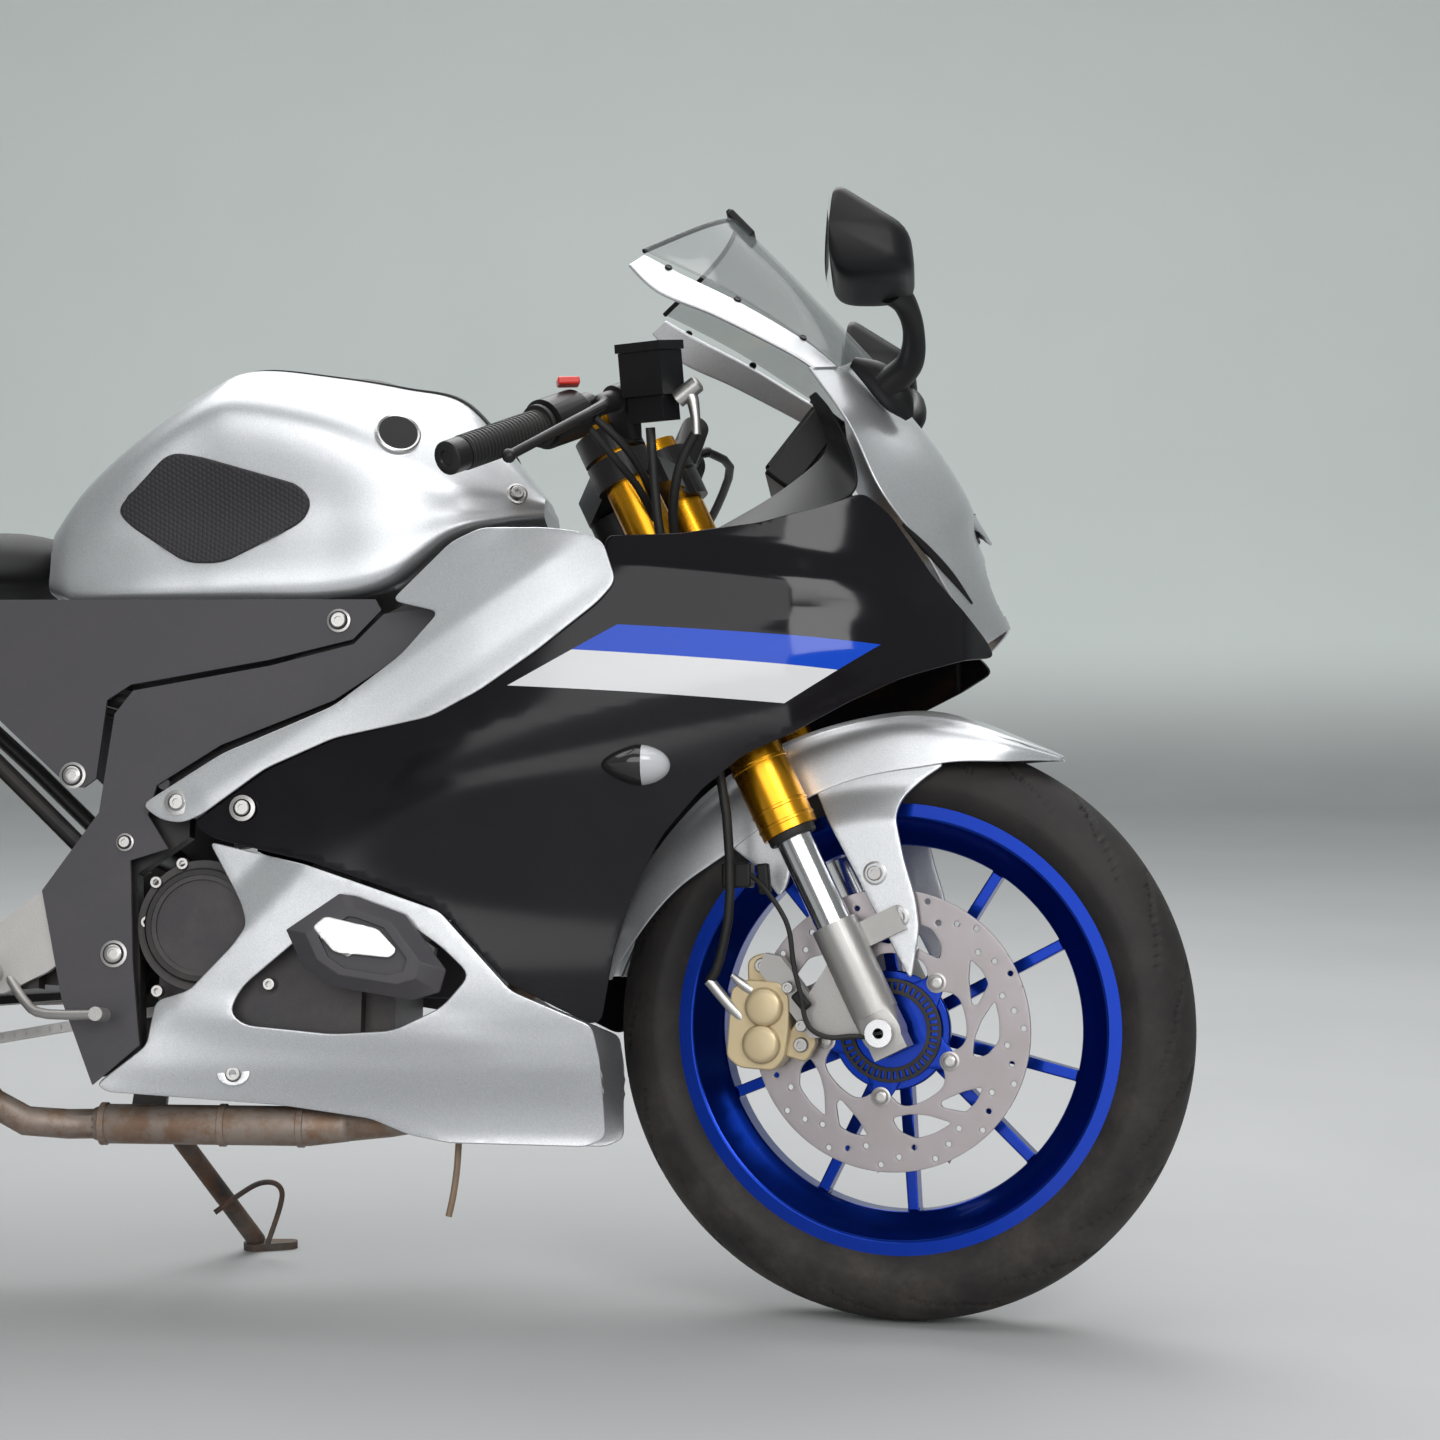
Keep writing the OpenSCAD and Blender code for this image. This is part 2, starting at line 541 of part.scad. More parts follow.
module radiator() color("#2b2b2d") parked() translate([322, 0, 500]) rotate([0, 12, 0]) {
    translate([-14, -118, -92]) cube([28, 236, 184]);
    for (s = [-1, 1]) translate([0, s * 126.3, 0]) cube([34, 16, 190], center = true);
    for (k = [-8:8]) translate([14, -116, k * 10.4 - 1.2]) cube([3, 232, 2.4]);
}
pipe_y = -72;
pipe_z = 190;
module exhaust_pipe() color("#8a6f5c") parked() {
    pipe([[249, 0, 461.6], [262, -2, 444], [268, -8, 330], [226, -40, 218], [100, pipe_y, pipe_z]], 15);
    translate([104, pipe_y, pipe_z]) rotate([0, -90, 0]) cylinder(h = 40, r1 = 15, r2 = 20);
    translate([64, pipe_y, pipe_z]) rotate([0, -90, 0]) cylinder(h = 210, r = 20);
    translate([-146, pipe_y, pipe_z]) rotate([0, -90, 0]) cylinder(h = 10, r1 = 20, r2 = 16);
    pipe([[-150, pipe_y, pipe_z], [-240, pipe_y - 22, pipe_z + 8], [-300, -140, 278], [-334, -152, 304], [-350, -152, 306]], 15);
    run([-346, -152, 306], [-392, -152, 306], 15);
}
muffler_rows = [ // x, y centre, z centre, half width, half height
    [-720, -178, 452, 34, 46], [-690, -176, 446, 44, 60], [-560, -168, 400, 46, 64], [-430, -158, 342, 42, 56],
    [-372, -152, 306, 24, 30]];
module muffler() color("#2a282a") parked() {
    difference() {
        loft([for (m = resample(muffler_rows, 8)) [for (k = [0:15])
            [m[0] - 0.35 * m[4] * sin(k * 22.5), m[1] + m[3] * cos(k * 22.5), m[2] + m[4] * sin(k * 22.5)]]]);
        run([-330, -152, 306], [-396, -152, 306], 15.5);
    }
}
arm_outline = [[-208, 386], [-330, 388], [-480, 362], [-640, 346], [-700, 340], [-708, 300], [-640, 292],
    [-470, 300], [-330, 314], [-208, 324]];
arm_in = 91;
arm_out = 114;
lug_in = 52;
lug_out = 87.4;
module swingarm() color("#26242a") parked() difference() {
    union() {
        both_sides() plate([for (p = arm_outline) [p[0] < -600 ? p[0] + rear_axle_x + 662.5 : p[0], p[1]]], arm_in, arm_out);
        plate([[-212, 376], [-330, 378], [-336, 322], [-212, 330]], -arm_in - 2, arm_in + 2);
        both_sides() plate([[-150, 378], [-230, 376], [-230, 330], [-150, 326], [-128, 352]], lug_in, lug_out);
        disc_y(rear_axle_x, rear_axle_z, axle_r, -arm_out - 12, arm_out + 12);
    }
    for (s = [-1, 1]) disc_y(pivot_x, pivot_z, 10 + play, s * 70 - 30, s * 70 + 30);
    both_sides() disc_y(spool_x, spool_z, spool_r, arm_out - 20, arm_out + 1);
}
// Threaded holes for paddock stand spools
spool_x = rear_axle_x + 92;
spool_z = 318;
spool_r = 4;
shock_foot = [-250, 0, 389];
shock_head = [-133.3, 0, 462.9];
module rear_shock() color("#3d3d42") parked() {
    run(shock_foot, shock_head, 14);
    for (k = [0:5]) let (a = shock_foot + (0.22 + 0.11 * k) * (shock_head - shock_foot))
        run(a, a + 0.05 * (shock_head - shock_foot), 25);
}
// Chain round the rear sprocket and the hidden gearbox sprocket
front_sprocket_x = -98;
front_sprocket_z = 352;
front_sprocket_r = 30;
chain_in = sprocket_r + 1;
chain_h = 11;
module chain_loop(grow) hull() {
    translate([rear_axle_x, rear_axle_z]) circle(chain_in + grow, $fn = 64);
    translate([front_sprocket_x, front_sprocket_z]) circle(front_sprocket_r + grow, $fn = 64);
}
module chain() color("#57524c") parked() {
    translate([0, sprocket_y + 4.5, 0]) rotate([90, 0, 0]) linear_extrude(9) difference() {
        chain_loop(chain_h);
        chain_loop(0);
    }
    disc_y(front_sprocket_x, front_sprocket_z, front_sprocket_r - 0.6, sprocket_y - 4, sprocket_y + 4);
}
module rear_caliper() color("#b59b6a") parked() at_rear_axle() difference() {
    union() {
        translate([52, -86, 92]) rotate([0, 30, 0]) cube([62, 12, 44], center = true);
        translate([53, -65, 93]) rotate([0, 30, 0]) cube([58, 14, 44], center = true);
        translate([62, -78, 108]) rotate([0, 30, 0]) cube([58, 38, 10], center = true);
        plate([[-14, -14], [14, -14], [60, 76], [30, 92], [-10, 20]], -90.6, -84);
    }
    translate([0, rear_disc_y - disc_t / 2 + 0.5, 0]) rotate([90, 0, 0]) cylinder(h = disc_t + 3, r = rear_disc_r + 3, center = true);
    rotate([90, 0, 0]) cylinder(h = 200, r = axle_r + play);
}

/* Controls for the feet */
hanger = [[-150, 416], [-196, 428], [-268, 372], [-300, 330], [-286, 316], [-240, 318], [-196, 340], [-160, 366]];
module rearset() {
    plate(hanger, 118, 126);
    translate([-252, 126, 338]) rotate([-90, 0, 0]) cylinder(h = 74, r = 11);
    plate([[-262, 352], [-380, 438], [-402, 430], [-404, 416], [-300, 330]], 118.5, 125.5);
    translate([-390, 126, 424]) rotate([-90, 0, 0]) cylinder(h = 62, r = 8);
    pipe([[-236, 121, 334], [-214, 140, 310], [-190, 156, 297], [-128, 168, 296]], 5);
    translate([-128, 158, 296]) rotate([-90, 0, 0]) cylinder(h = 34, r = 7);
    for (p = [[-172, 404], [-160, 372]]) translate([p[0], 112.3, p[1]]) rotate([-90, 0, 0]) cylinder(h = 6, r = 9);
}
module rearsets() color("#b7b9bc") parked() both_sides() rearset();

/* Side stand: it swings back and up about a pin on the frame */
stand_pivot = [-140, 104, 212];
stand_axis = unit([-0.218, 1, 0.35]);
stand_foot = [-62, 286, 0];
pin_r = 6;
eye_r = 14;
eye_half = 8;
function to_bike(p) = [p[0], p[1] * cos(lean) - p[2] * sin(lean), p[2] * cos(lean) + p[1] * sin(lean)];
module on_pin() translate(stand_pivot)
    rotate([0, acos(stand_axis[2]), atan2(stand_axis[1], stand_axis[0])]) children();
module side_stand() color("#2a2626") parked() difference() {
    union() {
        run(stand_pivot, to_bike(stand_foot + [0, 0, 9]), stand_r);
        on_pin() cylinder(h = 2 * eye_half, r = eye_r, center = true);
        rotate([lean, 0, 0]) translate(stand_foot) linear_extrude(8) hull() {
            circle(15);
            translate([34, 8]) circle(10);
        }
    }
    on_pin() cylinder(h = 4 * eye_half, r = pin_r + play, center = true);
}

/* Tank, seats and tail */
tank_rows = [ // x, top z, flat top half width, shoulder y, crease y, crease z, knee y, knee z, lower y, lower z
    [-226, 812, 30, 56, 70, 786, 74, 760, 74, 738],
    [-190, 858, 36, 74, 96, 822, 98, 772, 100, 724],
    [-130, 908, 44, 98, 126, 862, 112, 792, 114, 724],
    [-60, 955, 52, 112, 142, 900, 118, 806, 120, 726],
    [-14, 976, 56, 116, 147, 906, 122, 808, 122, 727],
    [70, 968, 58, 116, 147, 892, 128, 806, 124, 728],
    [140, 957, 56, 108, 138, 870, 132, 806, 126, 742],
    [200, 944, 48, 92, 120, 850, 122, 812, 120, 786],
    [250, 890, 40, 72, 94, 838, 96, 818, 94, 806],
    [288, 842, 28, 50, 64, 832, 66, 824, 64, 816]];
function tank_half(r) = [[0, r[9] - 6], [r[8] * 0.6, r[9] - 4], [r[8], r[9]], [r[6], r[7]], [r[4], r[5]],
    [r[3], (r[5] + 2 * r[1]) / 3], [r[2], r[1] - 3], [0, r[1]]];
module fuel_tank() color("#c3c6ca") parked()
    loft([for (r = resample(tank_rows, 18)) ring(r[0], resample(tank_half(r), 12))]);
pad_outline = [[-146, 815], [-92, 868], [-60, 866], [44, 836], [56, 824], [52, 802], [-22, 760], [-46, 755], [-72, 760]];
module tank_trim() color("#17161a") parked() {
    difference() {
        both_sides() plate(pad_outline, 96, 152);
        loft([for (r = resample(tank_rows, 18)) ring(r[0], resample(tank_half(r), 12))]);
        both_sides() plate(pad_outline, 90, 104);
    }
}
seat_rows = [ // x, top z, half width at the top, half width at the widest, lower z
    [-560, 846, 92, 112, 780], [-520, 828, 96, 118, 762], [-420, 806, 92, 118, 742], [-320, 800, 84, 110, 736],
    [-240, 804, 60, 84, 740], [-200, 800, 34, 52, 752]];
function seat_half(s) = [[0, s[4]], [s[3] - 10, s[4] + 4], [s[3], (s[4] + s[1]) / 2], [s[2], s[1] - 6], [s[2] * 0.5, s[1]], [0, s[1] - 2]];
module rider_seat() color("#1c1a1d") parked() translate([-30, 0, 0])
    loft([for (s = resample(seat_rows, 10)) ring(s[0], resample(seat_half(s), 9))]);
pillion_rows = [
    [-862, 944, 44, 60, 902], [-820, 944, 66, 82, 890], [-720, 926, 82, 100, 872], [-640, 910, 82, 104, 856], [-604, 892, 64, 90, 850]];
module pillion_seat() color("#1c1a1d") parked()
    loft([for (s = resample(pillion_rows, 8)) ring(s[0], resample(seat_half(s), 9))]);
tail_rows = [ // x, upper y, upper z, widest y, widest z, lower y, lower z
    [-968, 20, 908, 34, 886, 18, 862], [-900, 56, 900, 74, 862, 48, 826], [-780, 88, 876, 112, 832, 84, 790],
    [-640, 112, 840, 128, 800, 104, 748], [-500, 125, 758, 132, 744, 112, 706], [-400, 119, 732, 126, 720, 108, 680]];
module tail_cowl() color("#c3c6ca") parked() both_sides()
    sheet(grid_of([for (t = tail_rows) [[t[0], t[5], t[6]], [t[0], t[3], t[4]], [t[0], t[1], t[2]]]], 11, 5));
module tail_lamp() color("#8f1414") parked() {
    translate([-968, 0, 886]) rotate([0, 30, 0]) cube([26, 41, 34], center = true);
    translate([-930, 0, 872]) cube([60, 20, 26], center = true);
}
module rear_fender() color("#1d1b1e") parked() {
    plate([[-842, 838], [-900, 834], [-1000, 640], [-1026, 566], [-1014, 560], [-984, 628], [-880, 806], [-842, 806]], -34, 34);
    translate([-1010, 0, 616]) rotate([0, 25, 0]) translate([-3, -84, -56]) cube([4, 168, 112]);
}
module rear_indicators() color("#c9762a") parked() both_sides() {
    translate([-930, 34.3, 742]) rotate([-90, 0, 0]) cylinder(h = 60, r = 6);
    hull() {
        translate([-930, 100, 742]) sphere(13, $fn = 12);
        translate([-934, 138, 742]) sphere(9, $fn = 12);
    }
}
hugger_in = rear_tyre_r + 16;
module hugger() color("#1d1b1e") parked() {
    at_rear_axle() rotate([90, 0, 0]) linear_extrude(120, center = true) intersection() {
        difference() {
            circle(hugger_in + 4, $fn = 96);
            circle(hugger_in, $fn = 96);
        }
        polygon([[0, 0], [420, 146], [300, 420], [60, 420]]);
    }
    both_sides() {
        plate([[-352, 388.5], [-326, 388.5], [-326, 430], [-352, 430]], 90, 110);
        plate([[-374, 418], [-326, 418], [-326, 430], [-374, 430]], 50, 110);
    }
}

/* Bodywork on the right side, mirrored to the left */
// Rows of the skin panels: x and z on the upper edge, x and z on the lower edge
shoulder_edges = [[-96, 506, -58, 488], [-22, 560, 26, 540], [92, 606, 100, 572], [160, 655, 196, 592],
    [200, 700, 268, 636], [212, 768, 330, 680], [242, 782, 358, 702], [306, 780, 376, 724], [352, 772, 374, 742]];
fairing_edges = [[-50, 490, -34, 476], [22, 552, 66, 450], [96, 582, 146, 424], [190, 602, 200, 404],
    [262, 644, 268, 334], [322, 688, 360, 294], [364, 728, 380, 380], [368, 770, 440, 500],
    [440, 772, 500, 552], [520, 784, 562, 584], [610, 816, 640, 626], [690, 742, 706, 654], [744, 687, 744, 670]];
belly_edges = [[-142, 230, -136, 222], [-92, 270, -80, 219], [-50, 322, -20, 214], [-6, 370, 40, 210], [-34, 472, 129, 198],
    [62, 448, 169, 182], [143, 421, 209, 175], [203, 401, 280, 174], [275, 323, 340, 173], [355, 290, 364, 180]];
belly_hole = [[-8, 302], [4, 326], [64, 376], [98, 412], [162, 396], [204, 368], [234, 340], [206, 308], [156, 284], [96, 280], [6, 288]];
module shoulder_panels() color("#c3c6ca") parked() both_sides() skin_panel(shoulder_edges, 16, 4, -0.2);
module side_fairings() color("#141216") parked() both_sides() skin_panel(fairing_edges, 21, 6, 4.1);
module belly_pan() color("#c3c6ca") parked() difference() {
    both_sides() skin_panel(belly_edges, 18, 6, -1);
    both_sides() plate(belly_hole, 60, 260);
    on_pin() cylinder(h = 90, r = eye_r + 6, center = true);
    run(stand_pivot, to_bike(stand_foot), stand_r + 6);
}
duct_outline = [[52, 382], [104, 418], [120, 416], [170, 398], [212, 344], [206, 322], [180, 314], [100, 326], [70, 346]];
duct_neck = [[68, 376], [103.8, 409.8], [155.8, 396.8], [200, 366], [196, 330], [100, 330], [70, 350]];
duct_mid = [130, 366];
function shrunk(outline, k) = [for (p = outline) duct_mid + k * (p - duct_mid)];
module intake_ducts() color("#343136") parked() both_sides() right_side() difference() {
    union() {
        hull() {
            plate(duct_outline, 156, 161);
            plate(shrunk(duct_outline, 0.72), 171, 174);
        }
        plate(duct_neck, 138, 157);
    }
    plate(shrunk(duct_outline, 0.55), 170, 180);
}
side_cover_outline = [[-380, 712], [-260, 718], [126, 719], [132, 708], [104, 678], [20, 657], [-122, 631], [-146, 615],
    [-154, 535], [-166, 526], [-182, 527], [-256, 594], [-380, 672]];
frame_cover_outline = [[22, 650], [106, 672], [136, 703], [194, 711], [198, 704], [156, 661], [88, 615], [-26, 569],
    [-90, 528], [-98, 498], [-76, 464], [-114, 452], [-108, 352], [-98, 268], [-144, 228], [-178, 311], [-203, 421],
    [-148, 500], [-136, 600], [-118, 624]];
module side_covers() color("#333136") parked() both_sides() {
    plate(side_cover_outline, 124, 128);
    disc_y(-200, 664, 7, 104.4, 125);
}
module frame_covers() color("#38363b") parked() both_sides() {
    plate(frame_cover_outline, 129, 134);
    for (p = [[-140, 276], [-84, 530], [84, 632]]) disc_y(p[0], p[1], 6, 112.4, 130);
}

/* Nose, screen and cockpit */
nose_rows = [
    [[766, 0, 710], [762, 18, 705], [753, 34, 697], [742, 46, 688]],
    [[745, 0, 768], [738, 45, 758], [723, 80, 742], [705, 104, 726]],
    [[730, 0, 806], [724, 52, 800], [706, 96, 782], [682, 126, 762]],
    [[725, 0, 838], [717, 55, 832], [692, 106, 812], [662, 144, 788]],
    [[695, 0, 889], [687, 60, 884], [662, 118, 860], [632, 162, 828]],
    [[653, 0, 944], [645, 62, 936], [622, 124, 908], [602, 160, 892]],
    [[618, 0, 992], [610, 60, 982], [588, 118, 958], [562, 154, 950]]];
rail_rows = [
    [[586, 120, 960], [566, 153, 946]],
    [[553, 138, 980], [540, 152, 962]],
    [[471, 134, 1033], [446, 147, 1020]],
    [[392, 126, 1075], [380, 133, 1060]]];
screen_rows = [
    [[628.6, 0, 987], [620, 61, 977], [597, 121, 953.5]],
    [[574, 0, 1045], [566, 66, 1033], [544, 134, 993]],
    [[530, 0, 1092], [518, 68, 1078], [470, 131, 1041]],
    [[478, 0, 1146], [455, 66, 1126], [392, 124, 1081]]];
// Lip over the intake in the nose
beak_rows = [
    [[723, 0, 846], [719, 20, 843], [712, 42, 836]],
    [[737, 0, 822], [731, 18, 822], [720, 36, 824]],
    [[750, 0, 800], [746, 6, 803], [738, 13, 808]]];
function whole(row) = concat([for (k = [len(row) - 1:-1:1]) [row[k][0], -row[k][1], row[k][2]]], row);
module nose_cowl() color("#b9bcc0") parked() {
    difference() {
        sheet(grid_of([for (r = nose_rows) whole(r)], 12, 12));
        translate([720, 0, 752]) rotate([0, 80, 0]) cylinder(h = 120, r = 33, center = true);
    }
    sheet(grid_of([for (r = beak_rows) whole(r)], 6, 8));
    both_sides() sheet(grid_of(rail_rows, 8, 2));
}
module windscreen() color([0.55, 0.6, 0.6, 0.5]) parked() sheet(grid_of([for (r = screen_rows) whole(r)], 8, 10), 3);
module headlamp() color("#d9dde0") parked() translate([706, 0, 748]) rotate([0, 80, 0]) {
    cylinder(h = 26, r = 30);
    translate([0, 0, -50]) cylinder(h = 49.7, r = 38);
}
inner_rows = [
    [[470, 150, 786], [476, 194.6, 778]], [[524, 134, 822], [524, 191, 791]], [[566, 126, 856], [580, 180.3, 811.6]],
    [[580, 122, 876], [611, 166, 832]], [[576, 122, 896], [602, 153, 872]], [[568, 124, 914], [584, 146, 908]],
    [[562, 126, 928], [568, 136, 930]]];
module inner_cowl() color("#201e22") parked() both_sides() sheet(grid_of(inner_rows, 12, 4));
// Stay from the steering head to the lamp and the instrument
stay_outline = [[431.7, 738], [520, 744], [654, 724], [654, 752], [600, 790], [590, 870], [573.2, 878], [543.1, 838.1],
    [500, 800], [413.6, 776]];
module cowl_stay() color("#242226") parked() plate(stay_outline, -13, 13);
module instrument() color("#1b191c") parked() translate([556, 0, 886]) rotate([0, 37, 0]) {
    translate([-16, -84, -46]) cube([34, 168, 92]);
    translate([-20, -78, -40]) cube([3.7, 156, 80]);
}
mirror_face = [[593, 1104], [667, 1054], [672, 1000], [640, 992], [600, 994], [586, 1012]];
mirror_mid = [632, 1042];
function mirror_ring(y, s) = [for (p = mirror_face) [mirror_mid[0] + s * (p[0] - mirror_mid[0]), y, mirror_mid[1] + s * (p[1] - mirror_mid[1])]];
module mirror_arm() {
    loft([mirror_ring(172, 0.72), mirror_ring(220, 1), mirror_ring(270, 1), mirror_ring(326, 0.7)]);
    pipe([[648, 100, 940], [656, 130, 974], [656, 164, 998], [648, 194, 1012]], 10, 6, [1, 0, 0]);
    hull() {
        translate([648, 98, 940]) sphere(13, $fn = 12);
        translate([660, 92, 914]) sphere(8, $fn = 12);
        translate([626, 100, 955]) sphere(8, $fn = 12);
    }
}
module mirrors() color("#19171a") parked() both_sides() mirror_arm();
module front_indicators() color("#8c8278") parked() both_sides() {
    disc_y(396, 546, 8, 192.6, 216);
    hull() {
        translate([396, 214, 546]) sphere(14, $fn = 12);
        translate([404, 236, 545]) sphere(19, $fn = 12);
        translate([420, 254, 543]) sphere(12, $fn = 12);
    }
}

frame();
subframe();
engine();
engine_covers();
radiator();
exhaust_pipe();
muffler();
fuel_tank();
tank_trim();
rider_seat();
pillion_seat();
tail_cowl();
tail_lamp();
rear_fender();
rear_indicators();
side_covers();
frame_covers();
shoulder_panels();
side_fairings();
belly_pan();
intake_ducts();
nose_cowl();
windscreen();
headlamp();
inner_cowl();
cowl_stay();
instrument();
mirrors();
front_indicators();
swingarm();
rear_shock();
chain();
rear_caliper();
rearsets();
hugger();
side_stand();
fork_clamps();
fork_tubes();
fork_sliders();
fork_feet();
front_axle();
front_fender();
handlebars();
grips();
levers();
brake_reservoir();
front_caliper();
brake_hose();
front_rim();
front_disc();
front_tyre();
rear_rim();
rear_disc();
rear_sprocket();
rear_tyre();
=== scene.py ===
"""Dress of a small sport motorcycle that stands parked on its side stand.

Bike space is in millimetres: x forward, y to the left, z up, floor at z = 0, datum between the axles.
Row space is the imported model's frame, in metres.
"""

from __future__ import annotations

import functools
import json
import logging
import math
from dataclasses import dataclass, field, replace
from enum import Enum
from typing import Callable, Iterable, Optional, Sequence, Union

import bmesh
import bpy
import numpy as np
from mathutils import Matrix, Vector, geometry

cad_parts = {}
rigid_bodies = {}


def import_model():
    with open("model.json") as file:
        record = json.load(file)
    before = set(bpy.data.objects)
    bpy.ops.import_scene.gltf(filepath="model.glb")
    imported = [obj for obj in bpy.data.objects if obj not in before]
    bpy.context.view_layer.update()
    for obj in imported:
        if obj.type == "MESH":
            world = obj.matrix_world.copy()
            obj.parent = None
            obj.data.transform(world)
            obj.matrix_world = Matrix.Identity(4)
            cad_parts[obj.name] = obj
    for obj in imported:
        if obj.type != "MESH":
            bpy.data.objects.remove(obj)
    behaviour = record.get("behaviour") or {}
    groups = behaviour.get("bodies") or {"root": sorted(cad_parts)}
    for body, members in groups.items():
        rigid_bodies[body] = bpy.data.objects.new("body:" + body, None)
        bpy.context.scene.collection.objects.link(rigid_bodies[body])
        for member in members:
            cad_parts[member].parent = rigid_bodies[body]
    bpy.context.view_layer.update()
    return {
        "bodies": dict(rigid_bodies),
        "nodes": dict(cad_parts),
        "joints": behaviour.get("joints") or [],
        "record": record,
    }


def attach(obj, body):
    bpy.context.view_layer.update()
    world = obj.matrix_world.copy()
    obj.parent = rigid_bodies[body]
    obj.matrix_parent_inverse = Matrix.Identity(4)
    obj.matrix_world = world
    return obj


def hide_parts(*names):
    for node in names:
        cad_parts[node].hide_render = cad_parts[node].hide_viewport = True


LOG = logging.getLogger("motorcycle")
MM = 0.001
Array = np.ndarray
Color = tuple[float, float, float]
Value = Union[float, Sequence[float], bpy.types.NodeSocket]


class Body(str, Enum):
    """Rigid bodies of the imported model."""

    CHASSIS = "chassis"
    STEERING = "steering"
    FRONT_WHEEL = "front_wheel"
    REAR_WHEEL = "rear_wheel"
    STAND = "side_stand"


# Places


@dataclass(frozen=True)
class Parking:
    """Where bike space and the fork's own space lie in row space."""

    lean: float = math.radians(11.0)
    steer: float = math.radians(12.0)
    rake: float = math.radians(25.5)
    wheelbase: float = 1325.0
    front_axle_x: float = 662.5
    fork_offset: float = 48.0
    front_tyre_r: float = 296.0
    front_tyre_w: float = 100.0
    rear_tyre_r: float = 314.0
    rear_tyre_w: float = 138.0
    middle_x: float = -42.0
    middle_y: float = 168.0

    def lift(self, half_width: float) -> float:
        """Rise of a leaning tyre's axle over its radius."""
        return half_width * (1.0 / math.cos(self.lean) - 1.0)

    @property
    def front_axle_z(self) -> float:
        """Height of the front axle with the steering straight."""
        return self.front_tyre_r + self.lift(self.front_tyre_w / 2)

    @property
    def rear_axle(self) -> Array:
        """Middle of the rear axle in bike space."""
        x = self.front_axle_x - self.wheelbase
        return np.array([x, 0.0, self.rear_tyre_r + self.lift(self.rear_tyre_w / 2)])

    @property
    def sag(self) -> float:
        """Shift along the steering axis that keeps the turned wheel on the floor."""
        tilt = (math.sin(self.rake) * math.sin(self.steer) * math.cos(self.lean)
                - math.cos(self.steer) * math.sin(self.lean))
        head_z = self.front_axle_z - self.fork_offset * math.sin(self.rake)
        level = head_z + self.fork_offset * math.cos(self.steer) * math.sin(self.rake)
        turned = level * math.cos(self.lean) + self.fork_offset * math.sin(self.steer) * math.sin(self.lean)
        half = self.front_tyre_w / 2
        low = turned - (self.front_tyre_r - half) * math.sqrt(1 - tilt * tilt) - half
        return -low / (math.cos(self.rake) * math.cos(self.lean))

    def bike(self, points: Array) -> Array:
        """Bike space to row space.

        Args:
            points: Points in millimetres, last axis x, y, z.

        Returns:
            The points in metres, leaned about the line through the tyres' feet.
        """
        x, y, z = np.moveaxis(np.asarray(points, float), -1, 0)
        c, s = math.cos(self.lean), math.sin(self.lean)
        return np.stack([x - self.middle_x, y * c + z * s - self.middle_y, z * c - y * s], -1) * MM

    def fork(self, points: Array) -> Array:
        """Fork space, z along the steering axis from the axle's level, to row space.

        Args:
            points: Points in millimetres, last axis x, y, z.

        Returns:
            The points in metres, turned with the steering and leaned.
        """
        x, y, z = np.moveaxis(np.asarray(points, float), -1, 0)
        c, s = math.cos(self.steer), math.sin(self.steer)
        x, y = x * c + y * s, y * c - x * s
        z = z + self.sag
        c, s = math.cos(self.rake), math.sin(self.rake)
        head_x = self.front_axle_x - self.fork_offset * c
        head_z = self.front_axle_z - self.fork_offset * s
        return self.bike(np.stack([head_x + x * c - z * s, y, head_z + x * s + z * c], -1))

    def front_axle(self, points: Array) -> Array:
        """Space round the front axle, turned with the fork, to row space."""
        return self.fork(np.asarray(points, float) + [self.fork_offset, 0.0, 0.0])

    def rear(self, points: Array) -> Array:
        """Space round the rear axle to row space."""
        return self.bike(np.asarray(points, float) + self.rear_axle)


PARK = Parking()
Placer = Callable[[Array], Array]


# Surfaces as arrays


def along(points: Array, count: int) -> Array:
    """Catmull-Rom curve through the first axis of an array.

    Args:
        points: Knots, or rows of knots.
        count: Number of samples.

    Returns:
        Samples at even steps of the knot number; each is the cubic of the four knots round it.
    """
    p = np.asarray(points, float)
    t = np.linspace(0, len(p) - 1, count)
    i = np.minimum(t.astype(int), len(p) - 2)
    f = (t - i).reshape((-1,) + (1,) * (p.ndim - 1))
    a, b = p[np.maximum(i - 1, 0)], p[i]
    c, d = p[i + 1], p[np.minimum(i + 2, len(p) - 1)]
    return 0.5 * (2 * b + f * (c - a) + f**2 * (2 * a - 5 * b + 4 * c - d) + f**3 * (3 * b - a - 3 * c + d))


def patch(rows: Sequence, nu: int, nv: int) -> Array:
    """Grid of nu by nv points on the smooth surface through a table of rows."""
    across = np.moveaxis(along(np.asarray(rows, float), nu), 1, 0)
    return np.moveaxis(along(across, nv), 0, 1)


